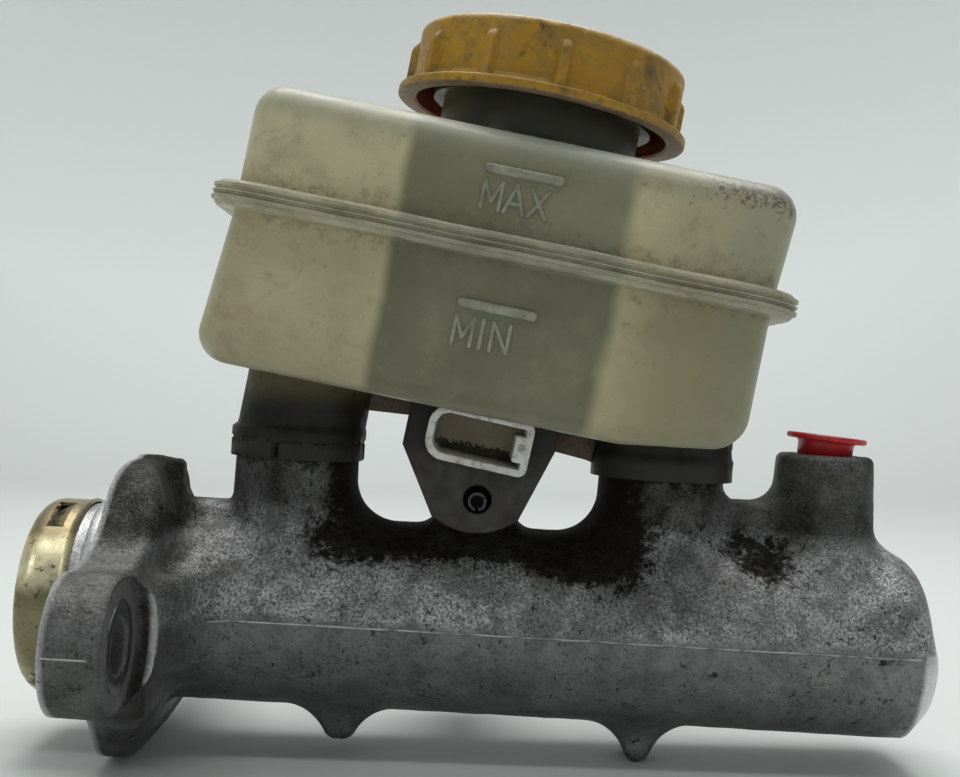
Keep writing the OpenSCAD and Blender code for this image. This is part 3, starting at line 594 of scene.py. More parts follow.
def tank_plastic(name, upper):
    """Milky plastic of one reservoir shell. Its zones follow the inner walls, in the tank's own axes: the
    middle room between them is painted darker, as shade.
    """
    s = Surface(name, Roughness=0.38, Specular_IOR_Level=0.35)
    x, y, z = s.along("X"), s.along("Y"), s.along("Z")
    soft = s.times(s.do("SUBTRACT", s.noise(14, 2), 0.5), 3.0)
    edge = s.plus(x, soft)
    warm = s.blend(s.cloud(20, 3, 0.6), (0.50, 0.445, 0.265), (0.58, 0.53, 0.335))
    shaded_middle = s.blend(s.cloud(22, 3, 0.6), (0.180, 0.172, 0.100), (0.235, 0.230, 0.145))
    rear, front = ROOM_WALLS
    # painted shade: the room between the two inner walls is darker than the end rooms
    centre = s.times(s.fit(edge, rear - 1.3, rear + 1.3), s.fit(edge, front + 1.6, front - 1.6))
    if not upper:
        warm = s.blend(0.26, warm, (0.20, 0.165, 0.08))
        shaded_middle = s.blend(0.25, shaded_middle, (0.05, 0.05, 0.03))
        deep = s.fit(x, rear + 10, rear + 2)
        shaded_middle = s.blend(deep, shaded_middle, (0.15, 0.145, 0.085))
    front_end = (0.43, 0.375, 0.235) if upper else (0.29, 0.26, 0.145)
    warm = s.blend(s.fit(x, front, front + 14), warm, front_end)
    s.paint(s.blend(centre, warm, shaded_middle))
    # the ends and the roof's rim are greyer than the flat panels
    rim = s.do("MAXIMUM", s.fit(edge, 9.5, 3.0), s.fit(edge, 92, 99))
    if upper:
        rim = s.do("MAXIMUM", rim, s.fit(z, 91.5, 95.5))
    s.coat(s.times(rim, 0.55), (0.285, 0.305, 0.225) if upper else (0.24, 0.245, 0.165))
    stain = s.cloud(10, 6, 0.7, 0.48, 0.68, 0.5, warp=0.6, shift=(3, 1, 8))
    s.coat(s.times(stain, s.do("SUBTRACT", 1.0, centre)), (0.30, 0.225, 0.14))
    mottled = s.cloud(7, 5, 0.65, 0.45, 0.75, 0.4)
    s.coat(mottled, (0.30, 0.27, 0.17))
    # dirt along the belt, dark freckles, and scuffs
    near_belt = s.fit(s.do("ABSOLUTE", s.do("SUBTRACT", z, BELT)), 7.5, 2.0)
    smear = s.fit(s.plus(s.noise(2.2, 7, 0.78), s.times(near_belt, 0.10)), 0.56, 0.74, 0, 0.55)
    s.coat(smear, (0.115, 0.095, 0.06))
    freckles = s.cloud(1.2, 6, 0.78, 0.665, 0.72, 0.85, warp=0.5)
    s.coat(freckles, (0.05, 0.04, 0.022))
    if upper:
        corner = s.times(s.fit(x, 80, 98), s.fit(z, 90, 98))
        rub = s.fit(s.plus(s.noise(1.0, 6, 0.8), s.times(corner, 0.22)), 0.62, 0.71, 0, 0.8)
        s.coat(rub, (0.07, 0.055, 0.04))
    else:
        low = s.times(s.fit(z, 60, 51), s.fit(x, 60, 15))
        s.coat(s.times(low, 0.3), (0.22, 0.19, 0.11))
    face = s.fit(s.do("ABSOLUTE", y), 26.5, 29.8)
    s.coat(s.times(s.do("SUBTRACT", 1.0, face), 0.25), (0.62, 0.62, 0.52))
    # the weld belt is milky and paler than the shells
    belt = s.times(s.fit(s.do("ABSOLUTE", s.plus(z, 0.2 - BELT)), 2.7, 2.0), s.fit(face, 0.98, 1.0))
    streaks = s.cloud(3, 5, 0.7, 0.35, 0.65, stretch=(0.3, 1, 1))
    pale = s.blend(streaks, (0.26, 0.25, 0.175), (0.47, 0.46, 0.36))
    s.coat(s.times(belt, 0.6), pale)
    if upper:
        # painted highlight along the roof's rounded top edge
        top_edge_highlight = s.fit(z, 95.0, 98.5)
        s.coat(s.times(top_edge_highlight, 0.35), (0.50, 0.53, 0.48))
        # painted shade: the neck under the cap is painted dark olive, and lighter towards its rear as a
        # painted highlight
        neck = s.fit(s.plus(z, s.fit(s.noise(2.5, 5, 0.7), 0.3, 0.7, -0.5, 0.5)), 99.6, 100.4)
        neck_shade = s.blend(s.fit(x, 50, 40), (0.022, 0.019, 0.008), (0.085, 0.075, 0.035))
        s.coat(s.times(neck, 0.96), neck_shade)
    else:
        # painted shade on the rounded bottom edge
        s.coat(s.fit(z, 50.5, 47.0, 0, 0.45), (0.07, 0.06, 0.035))
    s.rough(s.fit(s.noise(5, 4, 0.6), 0.3, 0.7, 0.30, 0.46))
    s.bumps((s.noise(11, 2), 0.35), (s.noise(1.2, 4, 0.6), 0.03), (freckles, 0.05))
    return s.material


def olive_plastic():
    """The same plastic, dark with dirt and with painted shade: nozzles, tongues and ribs."""
    s = Surface("grimy_shaded_plastic", Roughness=0.5, Specular_IOR_Level=0.25)
    patch = s.noise(6, 5, 0.65)
    s.paint(s.blend(s.fit(patch, 0.3, 0.7), (0.006, 0.0055, 0.004), (0.018, 0.0165, 0.012)))
    z = s.along("Z")
    s.coat(s.fit(z, 38.5, 45.5, 0, 0.9), (0.12, 0.105, 0.05))
    s.coat(s.fit(z, 34.5, 31.5, 0, 0.35), (0.055, 0.056, 0.048))
    dirt = s.cloud(1.4, 6, 0.75, 0.52, 0.70, 0.75, warp=0.5)
    s.coat(dirt, (0.022, 0.017, 0.012))
    s.rough(s.fit(s.noise(3, 4), 0.3, 0.7, 0.42, 0.62))
    s.bumps((s.noise(2.2, 5, 0.6), 0.08))
    return s.material


def tongue_plastic():
    s = Surface("tongue_plastic", Roughness=0.5, Specular_IOR_Level=0.3)
    # the plate's dark colour is dirt with painted shade, painted darker still towards the top, in shade under
    # the tank
    s.paint(s.blend(s.cloud(5, 4, 0.6), (0.028, 0.025, 0.020), (0.065, 0.060, 0.050)))
    s.coat(s.fit(s.along("Z"), 29, 35, 0, 0.85), (0.019, 0.015, 0.011))
    rusty = s.cloud(7, 3, 0.6, 0.55, 0.72, 0.4, shift=(5, 2, 1))
    s.coat(rusty, (0.075, 0.048, 0.033))
    specks = s.cloud(0.9, 5, 0.75, 0.62, 0.70, 0.7)
    s.coat(specks, (0.02, 0.017, 0.013))
    s.rough(s.fit(s.noise(2, 4), 0.3, 0.7, 0.42, 0.60))
    s.bumps((s.noise(1.8, 5, 0.6), 0.07))
    return s.material


def brown_plastic():
    s = Surface("backlit_tan_plastic", Roughness=0.5)
    z = s.along("Z")
    # painted light: the sleeve's white floor is painted tan, as light shining through it, with silt settled
    # low down
    s.paint(s.blend(s.cloud(4, 4), (0.72, 0.60, 0.43), (0.84, 0.72, 0.54)))
    line = s.do("MULTIPLY_ADD", s.along("X"), TILT, z)
    silt = s.fit(s.plus(s.noise(0.8, 6, 0.8), s.fit(line, 44.2, 42.0, 0, 0.28)), 0.60, 0.70, 0, 0.92)
    s.coat(silt, (0.022, 0.018, 0.014))
    s.bumps((s.noise(0.6, 4), 0.12))
    return s.material


def yellow_plastic():
    s = Surface("yellow_plastic", Roughness=0.4)
    s.paint(s.blend(s.cloud(12, 3), (0.36, 0.182, 0.003), (0.46, 0.252, 0.005)))
    film = s.cloud(6, 6, 0.74, 0.42, 0.66, 0.75, warp=0.6)
    s.coat(film, (0.22, 0.125, 0.03))
    soot = s.cloud(9, 7, 0.8, 0.52, 0.70, 0.85, warp=0.8, shift=(3, 7, 1))
    s.coat(soot, (0.045, 0.028, 0.014))
    streak = s.cloud(1.5, 5, 0.7, 0.62, 0.74, 0.5, stretch=(1, 1, 0.25))
    s.coat(streak, (0.10, 0.06, 0.02))
    z = s.along("Z")
    # painted highlight: the cap's top edge is painted paler, in patches
    painted_top_light = s.times(s.fit(z, 118.4, 119.4), s.cloud(4, 5, 0.7, 0.34, 0.56))
    s.coat(s.times(painted_top_light, 0.65), (0.80, 0.60, 0.32))
    lip = s.fit(z, 108.6, 106.8)
    worn = s.fit(s.plus(s.noise(1.6, 5, 0.7), s.times(lip, 0.08)), 0.60, 0.72, 0, 0.6)
    s.coat(worn, (0.07, 0.04, 0.02))
    s.rough(s.fit(s.noise(4, 5, 0.7), 0.3, 0.7, 0.30, 0.55))
    s.bumps((s.noise(1.1, 5, 0.65), 0.05), (s.noise(6, 3), 0.15))
    return s.material


def white_plastic(name, dirt):
    return stained(name, (6, 4), (0.62, 0.61, 0.56), (0.76, 0.755, 0.72), (0.9, 4, 0.55, 0.05),
                   (1.3, 6, 0.75, 0.47, 0.68, dirt), (0.16, 0.14, 0.11), Roughness=0.45)


CAST = cast_aluminium()
SEAM = stained("cast_seam", (5, 5, 0.7, 0.34, 0.58), (0.13, 0.13, 0.128), (0.42, 0.42, 0.41),
               (0.5, 3, 0.55, 0.1), Metallic=0.7, Roughness=0.42)
NUT_MARK = metal("nut_mark", (0.10, 0.10, 0.098), (0.24, 0.24, 0.24), 0.34, size=1.2)
GOLD = gold_zinc()
STEEL = metal("plain_steel", (0.30, 0.30, 0.30), (0.52, 0.52, 0.51), 0.38)
PIN_STEEL = metal("pin_steel", (0.02, 0.02, 0.02), (0.10, 0.10, 0.10), 0.28)
SPRING = metal("spring_steel", (0.16, 0.17, 0.18), (0.34, 0.35, 0.37), 0.34)
PISTON = metal("piston_aluminium", (0.55, 0.56, 0.58), (0.72, 0.73, 0.75), 0.26, grain=(4, 0.4, 0.4))
RUBBER = stained("black_rubber", (3, 5, 0.7, 0.35, 0.7), (0.012, 0.012, 0.012), (0.05, 0.048, 0.044),
                 (0.4, 3, 0.55, 0.04), Roughness=0.62)
TANK_UPPER = tank_plastic("tank_plastic_upper", True)
TANK_LOWER = tank_plastic("tank_plastic_lower", False)
MARK = stained("mark_plastic", (4, 4), (0.20, 0.205, 0.145), (0.33, 0.34, 0.255), (1, 4, 0.55, 0.03),
               (0.9, 6, 0.78, 0.56, 0.68, 0.7), (0.085, 0.075, 0.045), Roughness=0.4, Specular_IOR_Level=0.35)
OLIVE = olive_plastic()
TONGUE = tongue_plastic()
WHITE = white_plastic("white_plastic", 0.75)
CLEAN_WHITE = white_plastic("inner_white_plastic", 0.1)
BROWN = brown_plastic()
RIB = stained("rib_plastic", (3, 5, 0.7), (0.075, 0.052, 0.034), (0.135, 0.10, 0.068), (1.5, 5, 0.6, 0.08),
              (1.2, 6, 0.75, 0.52, 0.70, 0.8, 0.5), (0.02, 0.014, 0.009), Roughness=0.5,
              Specular_IOR_Level=0.3)
YELLOW = yellow_plastic()
# the underside of the cap's lip is painted a darker brown than the yellow: grime and painted shade
CAP_LIP = stained("cap_lip", (3, 5), (0.20, 0.125, 0.065), (0.30, 0.20, 0.12), (0.8, 5, 0.55, 0.06),
                  (1.2, 6, 0.75, 0.52, 0.68, 0.8), (0.07, 0.045, 0.03), Roughness=0.5)
# painted shade: the cap's inside is its yellow plastic painted dark orange-red, as it looks in shade
CAP_INSIDE = stained("cap_inside_in_shade", (4, 5), (0.30, 0.045, 0.012), (0.50, 0.10, 0.02), (1, 4, 0.55, 0.05),
                     (2, 6, 0.75, 0.5, 0.7, 0.6), (0.05, 0.02, 0.012), Roughness=0.45)
RED = stained("red_plastic", (3, 4), (0.40, 0.008, 0.014), (0.52, 0.014, 0.020), (1.2, 3, 0.55, 0.03),
              (1.5, 5, 0.7, 0.62, 0.74, 0.35), (0.12, 0.01, 0.01), gloss=(0.28, 0.45), Roughness=0.36,
              Subsurface_Weight=0.12, Subsurface_Scale=0.001)
MAGNET = stained("ferrite", (1, 4), (0.03, 0.03, 0.032), (0.08, 0.08, 0.084), (0.4, 3, 0.55, 0.03),
                 Roughness=0.6, Metallic=0.2)


# ---- Casting ----

LOBE_R, LOBE_Z, BLEND_R = 32.0, span("mounting_flange")[1][2], 21.0
BLEND_Y = ((LOBE_R + BLEND_R) ** 2 - (EAR_R + BLEND_R) ** 2 + EAR_Y ** 2) / (2 * EAR_Y)
BLEND_Z = math.sqrt((LOBE_R + BLEND_R) ** 2 - BLEND_Y ** 2)
FACE_X = 10.0
TUBE_R = 18.05
RIM_CHAMFER = 3.2
HALF_SQUARE = 0.7071
SEAT_R, SEAT_X, STUD_HOLE_R = 11.2, 9.4, 4.5
GROOVE_X, GROOVE_R = (-14.2, -9.6), 17.0
RECESS_R, RECESS_Z = 9.0, 20
PIN_HOLE_R = 2.05
OUTLET_R, POST_EDGE_R, POST_FILLET = 9.2, 1.3, 4.6
OUTLET_BORES = ((5.4, 3.0), (4.5, 13.0), (2.0, 40.0))  # radius and depth


def flange_outline(ay, az):
    lobe = np.hypot(ay, az) - LOBE_R
    ear = np.hypot(ay - EAR_Y, az) - EAR_R
    between = (az * BLEND_Y < ay * BLEND_Z) & (az * (EAR_Y - BLEND_Y) < (EAR_Y - ay) * BLEND_Z)
    blend = BLEND_R - np.hypot(ay - BLEND_Y, az - BLEND_Z)
    d = np.where(between, blend, np.minimum(lobe, ear))
    return rmax(d, az - LOBE_Z, 4.5)


def flange_field(x, y, z, ay, az):
    # both lobes thin towards their tips, the top one more on its far side
    top = smooth(z, 9, 16) * np.clip((z + 0.28 * y - 14.5) / 12, 0, 1) * 5.2
    thick = FACE_X - top - np.clip((-z - 15.5) / 12.2, 0, 1.2) * 5.4
    lobes = rmax(flange_outline(ay, az), x - thick, 1.8)
    web_x = 12.6 + np.clip((34 - ay) / 16, 0, 1) * 4.4
    web = rmax(rmax(az - 8.6, x - web_x, 3.2), ay - 39, 2.0)
    rib_x = 8.6 + np.clip(26 - z, 0, 9) * 0.07
    rib = rmax(rmax(np.abs(y + 0.4) - 2.7, x - rib_x, 1.5), z - LOBE_Z - 0.1, 1.4)
    rib = both(rib, 8 - z)
    body = rmin(lobes, web, 3.0)
    return both(rmin(body, rib, 1.8), 0.0 - x)


def foot(x, z, ay, at, tip_z, tip_w, root_w):
    half = mix(tip_w, root_w, np.clip((z - tip_z) / (-16 - tip_z), 0, 1)) / 2
    return rmax(rmax(np.abs(x - at) - half, tip_z - z, 1.3), ay - 5.5, 1.5) + both(z + 12, 0)


def post(across, up, radius, top, reach, draft, edge):
    """Round post: across is the distance from its axis, up the height along it. It widens for reach."""
    side = across - radius - np.clip(top - up, 0, reach) * draft
    return both(rmax(side, up - top, edge), -up)


def casting_field(x, y, z):
    ay, az = np.abs(y), np.abs(z)
    r = np.hypot(y, z)
    # the barrel: its crown keeps the rounded cast end, the rest of the rim is turned
    side, end = r - BARREL_R, x - END_X
    turned = both(side, end, (side + end + RIM_CHAMFER) * HALF_SQUARE)
    crown = rmax(side, end, 8.5)
    body = both(mix(turned, crown, smooth(z - 0.25 * y, 1, 11)), -x)
    # a faint step where the two halves of the mould met
    body = body - 0.10 * smooth(-z, -0.15, 0.35) * smooth(r, 15, 17.5)
    body = rmin(body, flange_field(x, y, z, ay, az), mix(1.6, 7.0, smooth(ay - 0.8 * az, -4, 6)))
    # reservoir bosses
    rear = post(np.hypot(x - REAR_X, y), z, REAR_R, BOSS_TOP, 30, 0.02, 0.7)
    body = rmin(body, rear, mix(2.6, 8.0, smooth(x, REAR_X - 6, REAR_X + 8)))
    front = post(np.hypot(x - FRONT_X, y), z, FRONT_R, BOSS_TOP, 30, 0.02, 0.7)
    body = rmin(body, front, mix(8.0, 5.0, smooth(x, FRONT_X - 8, FRONT_X + 4)))
    shelf = both(rmax(ay - 5.0, z - 20.4, 3.0), x - REAR_X, 4 - x, -z)
    body = rmin(body, shelf, 1.6)
    # lug between the tongues
    half = 6.6 + 1.5 * np.clip((LUG_TOP - z) / 18, 0, 1)
    lug = rmax(rmax(np.abs(x - LUG_X) - half, z - LUG_TOP, 2.6), ay - 5.5, 1.0)
    body = rmin(body, both(lug, -z), 4.0)
    # web and front outlet
    web = both(rmax(ay - 5.4, z - 25.9, 2.2), FRONT_X - x, x - OUTLET_X, -z)
    body = rmin(body, web, 3.0)
    outlet = post(np.hypot(x - OUTLET_X, y), z, OUTLET_R, OUTLET_TOP, 36, 0.047, POST_EDGE_R)
    body = rmin(body, outlet, POST_FILLET)
    # side outlet, on the far side
    outlet = post(np.hypot(x - SIDE_X, z), y, OUTLET_R, SIDE_END, 32, 0.052, POST_EDGE_R)
    body = rmin(body, outlet, POST_FILLET)
    # feet
    body = rmin(body, foot(x, z, ay, REAR_FOOT, REAR_FOOT_Z, 4.3, 13.5), 4.2)
    body = rmin(body, foot(x, z, ay, FRONT_FOOT, FRONT_FOOT_Z, 3.0, 12.5), 4.2)
    # spigot and mouth tube
    spigot = both(rmax(r - SPIGOT_R, -6.2 - x, 0.5), x - 2)
    side, end = r - TUBE_R, MOUTH_X - x
    tube = both(side, end, x - 2, (side + end + RIM_CHAMFER - 0.2) * HALF_SQUARE)
    body = np.minimum(np.minimum(body, spigot), tube)
    # cuts
    stud = np.hypot(ay - EAR_Y, z)
    body = cut(body, both(stud - SEAT_R, SEAT_X - x, x - 30))
    body = cut(body, stud - STUD_HOLE_R)
    bore = rmax(r - BORE_R, x - BORE_END, 2.0)
    lead = r - BORE_R - np.clip(MOUTH_X + 1.6 - x, 0, 1.6)
    body = cut(body, np.minimum(bore, both(lead, x)))
    body = cut(body, both(GROOVE_X[0] - x, x - GROOVE_X[1], GROOVE_R - r))
    for at in (REAR_X, FRONT_X):
        body = cut(body, both(np.hypot(x - at, y) - RECESS_R, RECESS_Z - z))
    for radius, depth in OUTLET_BORES:
        body = cut(body, both(np.hypot(x - OUTLET_X, y) - radius, OUTLET_TOP - depth - z, -z))
        body = cut(body, both(np.hypot(x - SIDE_X, z) - radius, SIDE_END - depth - y, -y))
    return cut(body, both(np.hypot(x - PIN[0], z - PIN[2]) - PIN_HOLE_R, ay - 9))


CAST_STEP = 0.84
low, high = span("cylinder_body", "mounting_flange", "front_outlet_boss", "rear_foot", "front_foot")
cast_v, cast_f = contour(casting_field, low - 2.3 * CAST_STEP, high + 2.3 * CAST_STEP, CAST_STEP)


def cast_masks(p):
    """Where oil and soot settled, what was machined, and what is the rough upper half, with painted shade on
    the wall of each spot face and a painted highlight along its rim.
    """
    x, y, z = p.T
    r, ay = np.hypot(y, z), np.abs(y)
    n = lumps(p, 9, 1) * 0.5 + lumps(p, 4, 2) * 0.3 + lumps(p, 2, 3) * 0.2
    face = np.hypot(ay - EAR_Y, z)
    turned = (r < 12.2) | (x < 0.05) | ((x > 151) & (z - 0.25 * y < 6))
    turned |= (np.hypot(x - OUTLET_X, y) < 5.5) & (z > 12) | (np.hypot(x - SIDE_X, z) < 5.5) & (y > 12)
    turned |= (np.abs(z - BOSS_TOP) < 0.3) & (x < OUTLET_X - 14)
    rim = (r - BARREL_R + x - END_X + RIM_CHAMFER) > -0.6
    top = smooth(z, 9, 17)
    valley = smooth(x, 33, 45) * smooth(x, 98, 86)
    grime_and_ledge_shade = top * (0.16 + 0.80 * valley)
    # smudges on the near side: amount, middle in X and Z, size in X and Z, and how solid
    for amount, at_x, at_z, wide, tall, core in (
        (0.85, 88, 15, 13, 9, 0.2), (0.22, 62, 14, 24, 6, 0.4), (0.32, 124, 11, 9, 6, 0.2),
        (0.30, 36, 12, 10, 9, 0.2),
    ):
        away = np.hypot((x - at_x) / wide, (z - at_z) / tall)
        grime_and_ledge_shade += amount * smooth(away, 1.3, core) * smooth(-y, -8, 6)
    grime_and_ledge_shade += 0.5 * smooth(np.hypot((x - 118) / 9, (z - 17) / 5), 1.2, 0.2)
    boss = np.minimum(np.hypot(x - REAR_X, y) - REAR_R, np.hypot(x - FRONT_X, y) - FRONT_R)
    grime_and_ledge_shade += 0.16 * smooth(boss, 2, 0) * smooth(z, 16, 22) + 0.35 * smooth(z, 27, 31) * smooth(boss, 2, 0)
    grime_and_ledge_shade += 0.35 * smooth(x, 98, 90) * smooth(x, 84, 92) * smooth(z, 14, 22)
    grime_and_ledge_shade += 0.45 * smooth(-z, 20, 25) * smooth(x, 80, 90)
    grime_and_ledge_shade += 0.25 * smooth(-z, 20, 26) * smooth(x, 20, 5)
    grime_and_ledge_shade += 0.20 * smooth(x, 9, 13) * smooth(x, 18, 12) * smooth(z, 8, 22)
    # painted shade: the wall of each spot face, below its rim, is darkened through the grime and dull masks
    shaded_ledge = (face < 11.9) & (x > 9.6) & (x < 17)
    grime_and_ledge_shade += np.where(shaded_ledge, 0.30 * smooth(x, 9.6, 10.2) * smooth(x, 12.6, 11.6), 0)
    grime_and_ledge_shade = np.clip(grime_and_ledge_shade * 0.9 + n * 0.26 - 0.05, 0, 1)
    upper = smooth(z + n * 1.2 - 0.3, -0.3, 1.2)
    upper *= 1 - 0.55 * smooth(z, 19, 24) * smooth(x, 14, 20)
    on_flange = smooth(x, 15, 9)
    rough_cast = smooth(z, -6, 4) * mix(1.0, 0.22, smooth(ay, 29, 35))
    upper = np.where(on_flange > 0, mix(upper, rough_cast, on_flange), upper)
    end_rim = (rim & (x > 147)) * mix(0.80, 0.55, smooth(z - 0.25 * y, 1, 6))
    worn = np.maximum(turned * np.where(x < 0.05, 0.62, 1.0), end_rim)
    worn = np.where((face < 11.05) & (x > 9.2) & (x < 9.6), 0.16, worn)
    # painted highlight: a thin bright line along the rim of each spot face's wall, taken out of the grime
    ring = smooth(np.abs(face - 11.3), 0.6, 0.15) * smooth(x, 11.6, 12.2) * smooth(x, 14.5, 13.5)
    worn = np.maximum(worn, 0.95 * ring * smooth(np.abs(z), 10.5, 9.0))
    grime_and_ledge_shade = grime_and_ledge_shade * ~turned * (1 - smooth(ring, 0.3, 0.8))
    # an oily film on the bosses, the port and the lobe, thinner along the barrel's top, and painted shade on
    # the wall of each spot face
    dull = np.max([
        smooth(z, 17.5, 22) * smooth(x, 14, 19) * (0.80 + 0.15 * n),
        smooth(z, 11, 17) * smooth(x, 13.0, 10.5) * 0.98,
        smooth(ay, 22, 30) * smooth(x, 16, 12) * mix(0.38, 0.74, smooth(z, 7, -9)),
        np.where(shaded_ledge, 0.95, 0),
        smooth(np.hypot(ay, z), 20, 26) * smooth(ay, 32, 24) * smooth(x, 12, 9) * 0.72,
        0.5 * smooth(x, 15, 12.5) * smooth(x, 9.8, 10.5) * smooth(z, -2, 8),
        0.36 * smooth(np.abs(x - 97), 18, 6) * smooth(z, 0, 3) + 0.12 * smooth(x, 112, 80),
    ], 0)
    dull = np.clip(dull + 0.35 * n * (dull > 0.05), 0, 1)
    return {"grime_and_ledge_shade": grime_and_ledge_shade, "machined_and_rim_highlight": worn, "upper": upper, "dull": dull * ~turned}


rough_skin = ~(cast_masks(cast_v)["machined_and_rim_highlight"] > 0.5) & (np.hypot(cast_v[:, 1], cast_v[:, 2]) > 17.2)
skin_normal = gradient(casting_field, cast_v)
skin_normal /= np.maximum(np.linalg.norm(skin_normal, axis=1), 0.3)[:, None]
swell = lumps(cast_v, 6, 11) * 0.07 + lumps(cast_v, 2.2, 12) * 0.05
cast_v = cast_v + skin_normal * (swell * rough_skin)[:, None]

CASTING_NODES = (
    "cylinder_body", "mounting_flange", "rear_boss", "front_boss", "boss_web", "front_outlet_boss",
    "side_outlet_boss", "tongue_lug", "rear_foot", "front_foot",
)
piece("casting", (cast_v, cast_f), "cylinder", CAST, CASTING_NODES, sharp=35,
      masks=cast_masks(cast_v))


def seam_path(side):
    """Points on the casting's skin along the mould's parting plane, from the flange to the end."""
    out = []
    for x in np.arange(18.4, END_X - 3.6, 0.8):
        near, far = 10.0, 60.0
        for _ in range(24):
            at = (near + far) / 2
            inside = casting_field(np.array([x]), np.array([side * at]), np.array([0.0]))[0] < 0
            near, far = (at, far) if inside else (near, at)
        out.append((x, side * near, 0.05))
    return [p for p in out if not (side > 0 and abs(p[0] - SIDE_X) < 14)]


def ridge(points, width, height, seed, out):
    """Thin ragged ridge along points, standing out along the given directions."""
    points, out = np.array(points, float), np.array(out, float)
    ragged = 1 + 0.35 * lumps(points, 3.0, seed) + 0.25 * lumps(points, 1.0, seed + 1)
    up = np.array([0, 0, 1.0])
    rows = []
    for o, h in ((-1, -0.35), (-0.45, 0.6), (0, 1), (0.45, 0.6), (1, -0.35)):
        rows.append(points + out * (h * height * ragged)[:, None] + up * (o * width / 2))
    return np.stack(rows, 1).reshape(-1, 3), capped(len(points), len(rows))


seams = []
for side in (-1, 1):
    path = seam_path(side)
    runs, start = [], 0
    for i in range(1, len(path) + 1):
        if i == len(path) or path[i][0] - path[i - 1][0] > 2:
            runs.append(path[start:i])
            start = i
    for k, run in enumerate(runs):
        if len(run) > 3:
            seams.append(ridge(run, 0.5, 0.20, 20 + k, [(0, side, 0)] * len(run)))
    ear = [(x, side * (EAR_Y + EAR_R - 0.05), 0.0) for x in np.arange(0.6, 7.9, 0.6)]
    seams.append(ridge(ear, 0.5, 0.2, 31, [(0, side, 0)] * len(ear)))
piece("parting_line", join(*seams), "cylinder", SEAM, sharp=50)

# ring that the booster nut pressed into each spot face
nut_rings = []
for side in (-1, 1):
    v, f = lathe(rounded([(5.0, -0.2), (7.6, -0.2), (7.6, 0.16), (5.0, 0.16)], 0.06, 2), 48)
    nut_rings.append((about_x(v) + [9.45, side * EAR_Y, 0], f))
piece("nut_marks", join(*nut_rings), "cylinder", NUT_MARK)


# ---- Stopper cap, a pressed sheet with two torn claws ----

STOP_R, STOP_EDGE_R, STOP_HOLE_R, SHEET = 18.75, 3.7, 9.6, 0.7
STOP_X0, STOP_X1 = span("stopper_cap")[0][0], -8.7
CLAWS = [math.radians(a) for a in (114.4, 294.4)]


